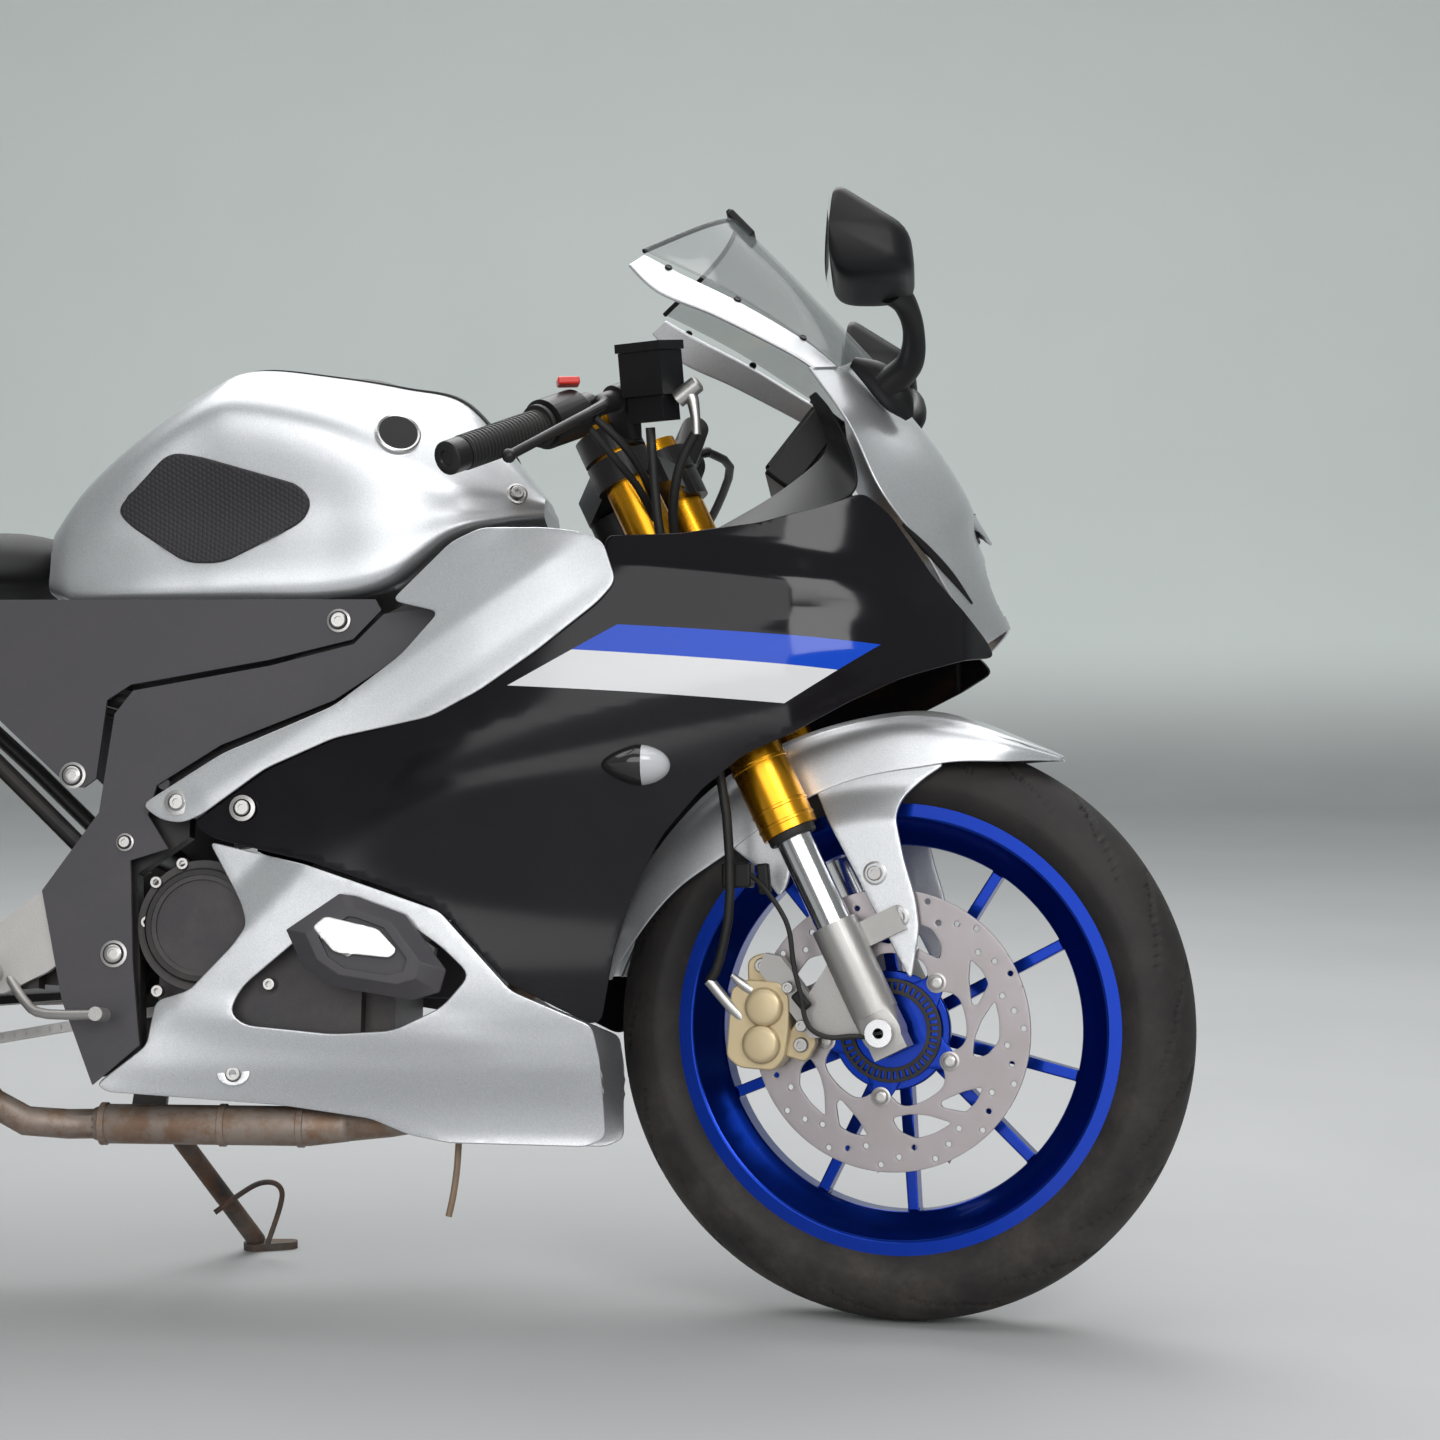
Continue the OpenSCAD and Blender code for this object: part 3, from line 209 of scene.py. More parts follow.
@dataclass
class Surface:
    """Vertices and faces under construction."""

    verts: Array = field(default_factory=lambda: np.zeros((0, 3)))
    faces: list = field(default_factory=list)

    def add(self, verts: Array, faces: Iterable[Sequence[int]]) -> "Surface":
        """Appends a mesh and returns the surface."""
        base = len(self.verts)
        self.verts = np.vstack([self.verts, np.asarray(verts, float).reshape(-1, 3)])
        if isinstance(faces, np.ndarray):
            self.faces += (faces + base).tolist()
        else:
            self.faces += [[base + k for k in f] for f in faces]
        return self

    def grid(self, points: Array, wrap_u: bool = False, wrap_v: bool = False,
             caps: bool = False) -> "Surface":
        """Adds a grid of points as quads.

        Args:
            points: Array of nu by nv points.
            wrap_u: Joins the last row to the first.
            wrap_v: Joins the last column to the first.
            caps: Closes the first and last rows of a tube.

        Returns:
            The surface itself.
        """
        nu, nv = points.shape[:2]
        idx = np.arange(nu * nv).reshape(nu, nv)
        rows = np.vstack([idx, idx[:1]]) if wrap_u else idx
        rows = np.hstack([rows, rows[:, :1]]) if wrap_v else rows
        quads = np.stack([rows[:-1, :-1], rows[1:, :-1], rows[1:, 1:], rows[:-1, 1:]], -1).reshape(-1, 4)
        faces = quads.tolist()
        if caps:
            faces += [idx[0].tolist(), idx[-1][::-1].tolist()]
        return self.add(points, faces)

    def box(self, center: Sequence[float], size: Sequence[float], turn: float = 0.0,
            yaw: float = 0.0) -> "Surface":
        """Adds a box, turned about y and then about z, in radians."""
        half = (-0.5, 0.5)
        corners = np.array([[x, y, z] for x in half for y in half for z in half]) * np.asarray(size, float)
        spin = np.array(Matrix.Rotation(yaw, 3, "Z") @ Matrix.Rotation(turn, 3, "Y"))
        faces = [[0, 1, 3, 2], [4, 6, 7, 5], [0, 4, 5, 1], [2, 3, 7, 6], [0, 2, 6, 4], [1, 5, 7, 3]]
        return self.add(corners @ spin.T + np.asarray(center, float), faces)

    def turned(self, start: Sequence[float], axis: Sequence[float], profile: Sequence,
               sides: int = 32) -> "Surface":
        """Adds a profile of radius and height turned round an axis from a start point."""
        z = np.asarray(axis, float) / np.linalg.norm(axis)
        x = np.cross(z, [0.3, 0.1, 0.9] if abs(z[2]) < 0.8 else [1, 0, 0])
        x /= np.linalg.norm(x)
        y = np.cross(z, x)
        p = np.asarray(profile, float)
        t = np.linspace(0, 2 * math.pi, sides, endpoint=False)[:, None, None]
        pts = np.asarray(start, float) + p[None, :, :1] * (np.cos(t) * x + np.sin(t) * y) + p[None, :, 1:] * z
        return self.grid(pts, wrap_u=True)

    def bolt(self, center: Sequence[float], axis: Sequence[float], radius: float, height: float,
             socket: bool = True) -> "Surface":
        """Adds a bolt head.

        Args:
            center: Middle of the head's seat.
            axis: Direction out of the seat.
            radius: Radius of the head.
            height: Height of the head.
            socket: Whether the head has a socket, or else a shallow dish.

        Returns:
            The surface itself.
        """
        inner, depth = (0.5, 0.4) if socket else (0.72, 0.85)
        profile = np.array([[1, 0], [1, 0.75], [0.86, 1], [inner, 1], [inner * 0.98, depth], [0.02, depth]])
        return self.turned(center, axis, profile * [radius, height], 18)

    def pipe(self, path: Sequence, radius: Value, count: int, sides: int,
             side: Sequence[float] = (0, 1, 0)) -> "Surface":
        """Adds a closed tube round a smooth path; arguments as in tube."""
        return self.grid(tube(path, radius, count, sides, side), wrap_v=True, caps=True)

    def prism(self, outline: Array, low: float, high: float) -> "Surface":
        """Adds a closed prism of an x and z outline between two values of y."""
        rings = np.stack([np.insert(outline, 1, y, axis=1) for y in (low, high)])
        return self.grid(rings, wrap_v=True, caps=True)

    def mirrored(self) -> "Surface":
        """The surface with its left-hand copy, faces turned to suit."""
        copy = self.verts * [1, -1, 1]
        return Surface(self.verts.copy(), list(self.faces)).add(copy, [f[::-1] for f in self.faces])


def ring_frame(path: Array, side: Array) -> tuple[Array, Array]:
    """Two unit vectors across a path at each of its points."""
    tangent = np.gradient(path, axis=0)
    tangent /= np.linalg.norm(tangent, axis=1, keepdims=True)
    a = np.cross(tangent, side)
    a /= np.linalg.norm(a, axis=1, keepdims=True)
    return a, np.cross(tangent, a)


def tube(path: Sequence, radius: Value, count: int, sides: int, side: Sequence[float]) -> Array:
    """Rings round a smooth path.

    Args:
        path: Knots of the path.
        radius: One radius, or knots of a radius along the path.
        count: Rings along the path.
        sides: Points in a ring.
        side: A direction that the path never follows.

    Returns:
        Grid whose point is the path plus radius times the turning cross vector.
    """
    line = along(np.asarray(path, float), count)
    r = np.full(count, float(radius)) if np.isscalar(radius) else along(np.asarray(radius, float), count)
    a, b = ring_frame(line, np.asarray(side, float))
    t = np.linspace(0, 2 * math.pi, sides, endpoint=False)[None, :, None]
    return line[:, None] + r[:, None, None] * (a[:, None] * np.cos(t) + b[:, None] * np.sin(t))


def rounded(outline: Sequence, radius: float, steps: int = 5) -> Array:
    """Closed outline with each corner as an arc-like quadratic curve.

    Args:
        outline: Corners.
        radius: Distance from a corner at which its curve starts, at most 45% of a side.
        steps: Points on each corner.

    Returns:
        Points of the outline.
    """
    p = np.asarray(outline, float)
    before, after = np.roll(p, 1, 0) - p, np.roll(p, -1, 0) - p
    la, lb = np.linalg.norm(before, axis=1), np.linalg.norm(after, axis=1)
    a = p + before * (np.minimum(radius, 0.45 * la) / la)[:, None]
    b = p + after * (np.minimum(radius, 0.45 * lb) / lb)[:, None]
    t = np.linspace(0, 1, steps)[None, :, None]
    return ((1 - t) ** 2 * a[:, None] + 2 * t * (1 - t) * p[:, None] + t**2 * b[:, None]).reshape(-1, 2)


def dense(outline: Array, step: float) -> Array:
    """Closed outline resampled so that no stretch is longer than a step."""
    nxt = np.roll(outline, -1, 0)
    n = np.maximum(1, np.ceil(np.linalg.norm(nxt - outline, axis=1) / step).astype(int))
    start = np.repeat(np.arange(len(outline)), n)
    frac = (np.arange(n.sum()) - np.repeat(np.cumsum(n) - n, n)) / np.repeat(n, n)
    return outline[start] + (nxt - outline)[start] * frac[:, None]


def inside(points: Array, outline: Array) -> Array:
    """Mask of the points inside a closed outline, by counting crossings."""
    x, y = points[:, 0:1], points[:, 1:2]
    x0, y0 = outline[:, 0], outline[:, 1]
    x1, y1 = np.roll(x0, -1), np.roll(y0, -1)
    cross = ((y0 > y) != (y1 > y)) & (x < (x1 - x0) * (y - y0) / np.where(y1 == y0, 1e-9, y1 - y0) + x0)
    return cross.sum(1) % 2 == 1


def within(points: Array, loops: Sequence[Array]) -> Array:
    """Mask of the points inside the first loop and outside the others."""
    keep = inside(points, loops[0])
    for loop in loops[1:]:
        keep &= ~inside(points, loop)
    return keep


def trimmed(outline: Array, holes: Sequence[Array], step: float) -> tuple[Array, Array]:
    """Even triangles inside an outline and outside its holes.

    Args:
        outline: Closed outline in the plane.
        holes: Closed outlines cut out of it.
        step: Size of the triangles.

    Returns:
        Points in the plane, and triangles.
    """
    loops = [dense(np.asarray(o, float), step) for o in (outline, *holes)]
    lo, hi = loops[0].min(0), loops[0].max(0)
    gx, gy = np.meshgrid(np.arange(lo[0], hi[0], step), np.arange(lo[1], hi[1], step * 0.87))
    gx = gx + (np.arange(gx.shape[0]) % 2)[:, None] * step / 2
    inner = np.stack([gx.ravel(), gy.ravel()], 1)
    edge = np.vstack(loops)
    inner = inner[within(inner, loops)]
    gap = np.min(np.linalg.norm(inner[:, None] - edge[None], axis=2), axis=1)
    inner = inner[gap > 0.55 * step]
    points = np.vstack([edge, inner])
    edges, base = [], 0
    for loop in loops:
        k = np.arange(len(loop))
        edges += np.stack([base + k, base + (k + 1) % len(loop)], 1).tolist()
        base += len(loop)
    out = geometry.delaunay_2d_cdt([Vector(p) for p in points], edges, [], 0, 1e-6)
    pts = np.array([tuple(v) for v in out[0]])
    tris = np.array([f for f in out[2] if len(f) == 3])
    return pts, tris[within(pts[tris].mean(1), loops)]


def circle(radius: float, count: int, center: Sequence[float] = (0.0, 0.0)) -> Array:
    """Points on a circle in the plane."""
    t = np.linspace(0, 2 * math.pi, count, endpoint=False)
    return np.asarray(center, float) + radius * np.stack([np.cos(t), np.sin(t)], 1)


def polar(points: Sequence) -> Array:
    """Points of radius and angle in degrees as points of the plane."""
    p = np.asarray(points, float)
    a = np.radians(p[:, 1])
    return p[:, :1] * np.stack([np.cos(a), np.sin(a)], 1)


def facing_right(verts: Array, tris: Array) -> Surface:
    """Surface of triangles turned to face the right side."""
    a, b, c = (verts[tris[:, k]] for k in range(3))
    turn = np.cross(b - a, c - a)[:, 1] > 0
    return Surface().add(verts, np.where(turn[:, None], tris[:, ::-1], tris))


def flat(outline: Array, holes: Sequence[Array], y: float, step: float) -> Surface:
    """Plate with its face towards the right side.

    Args:
        outline: Closed outline of x and z.
        holes: Outlines cut out of it.
        y: Place of the face.
        step: Size of the triangles.

    Returns:
        The face of the plate.
    """
    pts, tris = trimmed(outline, holes, step)
    return facing_right(np.stack([pts[:, 0], np.full(len(pts), float(y)), pts[:, 1]], 1), tris)


# Finishes


class Tree:
    """Small wrapper that adds nodes to a node tree."""

    def __init__(self, tree: bpy.types.NodeTree) -> None:
        """Keeps the tree to add to."""
        self.tree = tree

    def add(self, kind: str, inputs: Optional[dict] = None, **props: object) -> bpy.types.Node:
        """Adds a node.

        Args:
            kind: Node type name.
            inputs: Socket name or number to a value or a socket to link.
            **props: Properties of the node.

        Returns:
            The new node.
        """
        node = self.tree.nodes.new(kind)
        for key, value in props.items():
            setattr(node, key, value)
        for key, value in (inputs or {}).items():
            self.put(value, node.inputs[key])
        return node

    def put(self, value: Value, socket: bpy.types.NodeSocket) -> None:
        """Links a socket to an input, or sets the input to a value."""
        if isinstance(value, bpy.types.NodeSocket):
            self.tree.links.new(value, socket)
        else:
            socket.default_value = value

    def math(self, operation: str, a: Value, b: Value = 0.0, clamp: bool = False) -> bpy.types.NodeSocket:
        """Output of a math node on one or two values or sockets."""
        return self.add("ShaderNodeMath", {0: a, 1: b}, operation=operation, use_clamp=clamp).outputs[0]

    def noise(self, scale: Value, detail: float, **inputs: float) -> bpy.types.NodeSocket:
        """Noise in object space at a scale, with a detail and other inputs of the node."""
        co = self.add("ShaderNodeTexCoord").outputs["Object"]
        values = {"Vector": co, "Scale": scale, "Detail": detail, **inputs}
        return self.add("ShaderNodeTexNoise", values).outputs[0]

    def bump(self, strength: Value, distance: float, height: Value) -> bpy.types.NodeSocket:
        """Normal of a bump of a height."""
        values = {"Strength": strength, "Distance": distance, "Height": height}
        return self.add("ShaderNodeBump", values).outputs[0]

    def mix(self, factor: Value, a: Value, b: Value) -> bpy.types.NodeSocket:
        """Colour mixed from a to b by a factor."""
        node = self.add("ShaderNodeMix", {"Factor": factor}, data_type="RGBA")
        for name, value in (("A", a), ("B", b)):
            self.put(value, [s for s in node.inputs if s.name == name and s.type == "RGBA"][0])
        return [s for s in node.outputs if s.type == "RGBA"][0]

    def ramp(self, value: bpy.types.NodeSocket, low: float, high: float) -> bpy.types.NodeSocket:
        """Value mapped from low..high to 0..1 with smooth ends."""
        values = {"Value": value, "From Min": low, "From Max": high}
        return self.add("ShaderNodeMapRange", values, interpolation_type="SMOOTHSTEP").outputs[0]


def rgba(color: Color) -> tuple[float, float, float, float]:
    """Colour with full alpha."""
    return (*color, 1.0)


def shades(color: Color, spread: float) -> tuple[tuple, tuple]:
    """A darker and a lighter shade of a colour, with full alpha."""
    dark = tuple(c * (1 - spread) for c in color)
    light = tuple(min(1.0, c * (1 + spread)) for c in color)
    return rgba(dark), rgba(light)


class Groups:
    """Shader node groups shared by the finishes; they give masks and normals only."""

    @staticmethod
    def _new(name: str, inputs: dict[str, float],
             outputs: dict[str, str]) -> tuple[Tree, bpy.types.Node, bpy.types.Node]:
        """Starts a group.

        Args:
            name: Name of the group.
            inputs: Names and first values of its float inputs.
            outputs: Names and socket types of its outputs.

        Returns:
            The group's tree, its input node and its output node.
        """
        group = bpy.data.node_groups.new(name, "ShaderNodeTree")
        for key, value in inputs.items():
            socket = group.interface.new_socket(key, in_out="INPUT", socket_type="NodeSocketFloat")
            socket.default_value = value
        for key, kind in outputs.items():
            group.interface.new_socket(key, in_out="OUTPUT", socket_type=kind)
        tree = Tree(group)
        return tree, tree.add("NodeGroupInput"), tree.add("NodeGroupOutput")

    @classmethod
    @functools.cache
    def dust(cls) -> bpy.types.NodeTree:
        """Mask of road dust: patchy, and thicker low down on the machine."""
        t, gi, go = cls._new("Road dust", {"Amount": 0.3, "Height": 0.5}, {"Mask": "NodeSocketFloat"})
        co = t.add("ShaderNodeTexCoord").outputs["Object"]
        z = t.add("ShaderNodeSeparateXYZ", {0: co}).outputs[2]
        low = t.math("SUBTRACT", 1.0, t.math("DIVIDE", z, gi.outputs["Height"]), True)
        patchy = t.noise(14.0, 6.0, Roughness=0.65)
        fine = t.noise(160.0, 3.0)
        both = t.math("MULTIPLY", t.ramp(patchy, 0.35, 0.7), t.math("ADD", 0.45, fine))
        lift = t.math("ADD", 0.35, low)
        mask = t.math("MULTIPLY", t.math("MULTIPLY", both, lift), gi.outputs["Amount"], True)
        t.tree.links.new(mask, go.inputs["Mask"])
        return t.tree

    @classmethod
    @functools.cache
    def grain(cls) -> bpy.types.NodeTree:
        """Normal of a fine even grain, such as moulded plastic or a casting."""
        t, gi, go = cls._new("Grain", {"Scale": 900.0, "Strength": 0.15}, {"Normal": "NodeSocketVector"})
        bump = t.bump(gi.outputs["Strength"], 0.0004, t.noise(gi.outputs["Scale"], 2.0))
        t.tree.links.new(bump, go.inputs["Normal"])
        return t.tree

    @classmethod
    @functools.cache
    def bike_space(cls) -> bpy.types.NodeTree:
        """Place along the upright bike and height, in metres, from the leaned object space."""
        t, _, go = cls._new("Bike space", {}, {"X": "NodeSocketFloat", "Z": "NodeSocketFloat"})
        co = t.add("ShaderNodeTexCoord").outputs["Object"]
        shift = (PARK.middle_x * MM, PARK.middle_y * MM, 0.0)
        move = t.add("ShaderNodeVectorMath", {0: co, 1: shift}, operation="ADD").outputs[0]
        turn = t.add("ShaderNodeVectorRotate", {"Vector": move, "Angle": PARK.lean}, rotation_type="X_AXIS")
        xyz = t.add("ShaderNodeSeparateXYZ", {0: turn.outputs[0]}).outputs
        t.tree.links.new(xyz[0], go.inputs["X"])
        t.tree.links.new(xyz[2], go.inputs["Z"])
        return t.tree


DUST: Color = (0.30, 0.25, 0.20)
DUST_ROUGHNESS = 0.5


@dataclass(frozen=True)
class Finish:
    """A surface finish on a Principled shader with dust and a fine grain."""

    name: str
    slot: str
    color: Color
    metallic: float = 0.0
    roughness: float = 0.5
    coat: float = 0.0
    grain: float = 0.0
    grain_scale: float = 900.0
    mottle: float = 0.08
    dust: float = 0.25
    dust_height: float = 0.7
    specular: float = 0.5
    coat_roughness: float = 0.06

    def base(self, t: Tree) -> bpy.types.NodeSocket:
        """Colour before dust: the paint with a slight, slow mottle."""
        return t.mix(t.noise(9.0, 4.0), *shades(self.color, self.mottle))

    def material(self) -> bpy.types.Material:
        """Builds the material, or returns it if it exists."""
        if self.name in bpy.data.materials:
            return bpy.data.materials[self.name]
        mat = bpy.data.materials.new(self.name)
        mat.use_nodes = True
        t = Tree(mat.node_tree)
        shader = mat.node_tree.nodes["Principled BSDF"]
        amount = {"Amount": self.dust, "Height": self.dust_height}
        dust = t.add("ShaderNodeGroup", amount, node_tree=Groups.dust()).outputs["Mask"]
        values = {
            "Base Color": t.mix(dust, self.base(t), rgba(DUST)),
            "Roughness": t.math("ADD", t.math("MULTIPLY", dust, DUST_ROUGHNESS), self.roughness, True),
            "Coat Weight": self.coat,
            "Coat Roughness": self.coat_roughness,
            "Specular IOR Level": self.specular}
        if self.metallic:
            values["Metallic"] = t.math("MULTIPLY", t.math("SUBTRACT", 1.0, dust), self.metallic)
        if self.grain:
            size = {"Scale": self.grain_scale, "Strength": self.grain}
            values["Normal"] = t.add("ShaderNodeGroup", size, node_tree=Groups.grain()).outputs["Normal"]
        for key, value in values.items():
            t.put(value, shader.inputs[key])
        self.extra(t, shader, dust)
        return mat

    def extra(self, t: Tree, shader: bpy.types.Node, dust: bpy.types.NodeSocket) -> None:
        """Hook for finishes that add more to the shader."""


@dataclass(frozen=True)
class Flake(Finish):
    """Metallic paint: tiny bright flakes under a clear coat."""

    flake: float = 0.18
    flake_scale: float = 2600.0

    def base(self, t: Tree) -> bpy.types.NodeSocket:
        """Paint colour broken up by flakes."""
        co = t.add("ShaderNodeTexCoord").outputs["Object"]
        cells = t.add("ShaderNodeTexVoronoi", {"Vector": co, "Scale": self.flake_scale}).outputs["Color"]
        value = t.add("ShaderNodeSeparateColor", {0: cells}).outputs[0]
        return t.mix(value, *shades(self.color, self.flake))


@dataclass(frozen=True)
class Band:
    """A stripe between lines of the side view.

    Each line is (z at x = 0, slope) in metres of bike space. The stripe is above all lines of one set and
    below all lines of the other.
    """

    color: Color
    above: tuple
    below: tuple


@dataclass(frozen=True)
class Striped(Finish):
    """Panel with stripes laid over its colour."""

    bands: tuple = ()

    def base(self, t: Tree) -> bpy.types.NodeSocket:
        """Panel colour with the bands laid over it."""
        color = super().base(t)
        space = t.add("ShaderNodeGroup", node_tree=Groups.bike_space()).outputs
        for band in self.bands:
            mask = None
            for lines, operation in ((band.above, "GREATER_THAN"), (band.below, "LESS_THAN")):
                for start, slope in lines:
                    line = t.math("ADD", t.math("MULTIPLY", space["X"], slope), start)
                    test = t.math(operation, space["Z"], line)
                    mask = test if mask is None else t.math("MULTIPLY", mask, test)
            color = t.mix(mask, color, rgba(band.color))
        return color


@dataclass(frozen=True)
class Studded(Finish):
    """Rubber pad with a hexagonal lattice of small studs."""

    pitch: float = 0.0052
    height: float = 0.0007

    def extra(self, t: Tree, shader: bpy.types.Node, dust: bpy.types.NodeSocket) -> None:
        """Adds the studs as a bump: the sum of three cosines at 60 degrees to each other."""
        space = t.add("ShaderNodeGroup", node_tree=Groups.bike_space()).outputs
        k = 4 * math.pi / (math.sqrt(3) * self.pitch)
        total = None
        for turn in (0.0, math.pi / 3, -math.pi / 3):
            x = t.math("MULTIPLY", space["X"], k * math.cos(turn))
            z = t.math("MULTIPLY", space["Z"], k * math.sin(turn))
            wave = t.math("COSINE", t.math("ADD", x, z))
            total = wave if total is None else t.math("ADD", total, wave)
        t.tree.links.new(t.bump(0.6, self.height, t.ramp(total, -1.2, 1.2)), shader.inputs["Normal"])


@dataclass(frozen=True)
class Woven(Finish):
    """Seat cover with a fine woven relief."""

    pitch: float = 420.0
    height: float = 0.0006

    def extra(self, t: Tree, shader: bpy.types.Node, dust: bpy.types.NodeSocket) -> None:
        """Adds the weave as a bump."""
        co = t.add("ShaderNodeTexCoord").outputs["Object"]
        waves = [t.add("ShaderNodeTexWave", {"Vector": co, "Scale": self.pitch}, bands_direction=way)
                 for way in ("X", "DIAGONAL")]
        height = t.math("MULTIPLY", *(wave.outputs[1] for wave in waves))
        t.tree.links.new(t.bump(0.35, self.height, height), shader.inputs["Normal"])


@dataclass(frozen=True)
class Stained(Finish):
    """Steel stained by heat or rust in patches."""

    stain: Color = (0.20, 0.10, 0.05)
    share: float = 0.5
    patch_scale: float = 38.0

    def base(self, t: Tree) -> bpy.types.NodeSocket:
        """Metal colour with stained patches."""
        noise = t.noise(self.patch_scale, 7.0, Roughness=0.7)
        mask = t.math("MULTIPLY", t.ramp(noise, 0.42, 0.62), self.share)
        return t.mix(mask, super().base(t), rgba(self.stain))


@dataclass(frozen=True)
class Glazing(Finish):
    """Clear or tinted sheet that lets light through."""

    alpha: float = 0.35

    def extra(self, t: Tree, shader: bpy.types.Node, dust: bpy.types.NodeSocket) -> None:
        """Makes the clean glass thin and the dust solid."""
        solid = t.math("ADD", t.math("MULTIPLY", dust, 0.6), self.alpha, True)
        t.tree.links.new(solid, shader.inputs["Alpha"])


SILVER = Flake("silver paint", "silver_paint", (0.63, 0.64, 0.66), 0.80, 0.36, 0.25, dust=0.03)
BLUE = Flake("blue rim paint", "blue_paint", (0.0002, 0.024, 0.27), 0.90, 0.24, 0.12, dust=0.006, flake=0.12)
TOP_LINE = (0.7027, -0.057)
MID_LINE = (0.6795, -0.068)
LOW_LINE = (0.6388, -0.062)
REAR_LINE = (0.4754, 0.541)
FRONT_LINE = (0.2481, 0.656)
BLACK_GLOSS = Striped(
    "black gloss panel", "black_gloss", (0.006, 0.005, 0.007), 0.0, 0.10, 0.0, dust=0.01, mottle=0.15,
    specular=0.28,
    bands=(Band((0.006, 0.060, 0.50), (MID_LINE, FRONT_LINE), (TOP_LINE, REAR_LINE)),
           Band((0.66, 0.66, 0.67), (LOW_LINE, FRONT_LINE), (MID_LINE, REAR_LINE))))
PLAIN_BLACK = Finish(
    "black gloss plastic", "black_gloss", (0.006, 0.005, 0.006), 0.0, 0.14, 0.0, dust=0.01, specular=0.26)
GREY = Finish(
    "grey moulded plastic", "grey_plastic", (0.046, 0.043, 0.050), 0.0, 0.46, grain=0.30, dust=0.05,
    specular=0.4)
BLACK = Finish(
    "black moulded plastic", "black_plastic", (0.007, 0.007, 0.008), 0.0, 0.42, grain=0.25, dust=0.02,
    specular=0.22)
GOLD = Finish("gold anodising", "gold_anodised", (0.80, 0.36, 0.012), 1.0, 0.27, 0.2, mottle=0.05, dust=0.05)
CHROME = Finish("hard chrome", "chromed_steel", (0.60, 0.60, 0.61), 1.0, 0.15, mottle=0.02, dust=0.06)
ALLOY = Finish(
    "cast alloy", "cast_alloy", (0.38, 0.37, 0.36), 0.75, 0.38, grain=0.35, grain_scale=700.0, dust=0.10)
BLACK_METAL = Finish(
    "black satin metal", "black_metal", (0.014, 0.013, 0.014), 0.2, 0.38, grain=0.2, dust=0.08,
    specular=0.35)
STEEL = Finish(
    "ground steel", "steel", (0.47, 0.46, 0.45), 1.0, 0.34, grain=0.15, grain_scale=1500.0, dust=0.10)
DISC = Finish(
    "brake disc steel", "steel", (0.34, 0.31, 0.32), 0.9, 0.34, grain=0.12, grain_scale=1500.0, dust=0.12)
HEATED = Stained(
    "heat stained steel", "heated_steel", (0.27, 0.22, 0.19), 0.6, 0.46, grain=0.4, dust=0.30, share=0.75)
RUSTY = Stained(
    "rusted stand", "black_metal", (0.040, 0.032, 0.03), 0.3, 0.55, grain=0.4, dust=0.25, share=0.8,
    stain=(0.11, 0.045, 0.02))
TYRE = Finish(
    "dusty tyre", "tyre_rubber", (0.019, 0.017, 0.017), 0.0, 0.62, grain=0.5, grain_scale=500.0,
    dust=0.09, dust_height=0.5, mottle=0.25, specular=0.3)
RUBBER = Finish(
    "black rubber", "rubber", (0.010, 0.010, 0.010), 0.0, 0.5, grain=0.3, dust=0.05, specular=0.35)
PAD = Studded("studded knee pad", "black_plastic", (0.022, 0.020, 0.024), 0.0, 0.5, dust=0.03, specular=0.35)
SEAT = Woven("woven seat cover", "seat_cover", (0.010, 0.010, 0.011), 0.0, 0.5, dust=0.04, specular=0.35)
SCREEN = Glazing("smoked screen", "clear_screen", (0.16, 0.18, 0.18), 0.0, 0.06, 0.3, dust=0.03, alpha=0.30)
LENS = Glazing("clear lens", "lamp_lens", (0.75, 0.77, 0.80), 0.0, 0.08, 0.6, dust=0.03, alpha=0.60)
RED_LENS = Finish("red lens", "red_lens", (0.38, 0.012, 0.012), 0.0, 0.12, 0.8, dust=0.03)
AMBER = Finish("amber lens", "black_plastic", (0.55, 0.20, 0.03), 0.0, 0.15, 0.7, dust=0.05)
INDICATOR = Striped(
    "indicator with a clear front", "black_plastic", (0.012, 0.011, 0.012), 0.0, 0.15, 0.4, dust=0.02,
    bands=(Band((0.52, 0.52, 0.54), (), ((-405.0, 1000.0),)),))
BRONZE = Finish(
    "bronze caliper paint", "bronze_paint", (0.56, 0.45, 0.27), 0.50, 0.36, 0.2, grain=0.25, dust=0.12)
ENGINE = Finish(
    "engine paint", "engine_metal", (0.040, 0.037, 0.040), 0.3, 0.42, grain=0.4, dust=0.12, specular=0.4)
RED_KNOB = Finish("red switch", "black_plastic", (0.55, 0.02, 0.012), 0.0, 0.3, 0.3, dust=0.02)
MIRROR = Finish("mirror glass", "chromed_steel", (0.75, 0.77, 0.78), 1.0, 0.03, mottle=0.01, dust=0.01)
BADGE = Finish("bare badge plate", "silver_paint", (0.50, 0.50, 0.50), 0.9, 0.26, 0.2, mottle=0.02, dust=0.02)
HOSE = Finish("brown drain hose", "rubber", (0.20, 0.13, 0.08), 0.0, 0.5, dust=0.2)


# Pieces


@dataclass(frozen=True)
class Trim:
    """How a mesh is finished, in millimetres and degrees.

    A wall stands behind the face and may have a lining of another finish. Edges sharper than the angle are
    rounded by the bevel, and a loose bevel keeps its width next to short edges.
    """

    wall: float = 0.0
    bevel: float = 0.0
    angle: float = 32.0
    segments: int = 2
    loose: bool = False
    lining: Optional[Finish] = None


SMOOTH = Trim()
CRISP = Trim(angle=40)
PANEL = Trim(3.0, 1.0, 40)
MERGE = 2e-6


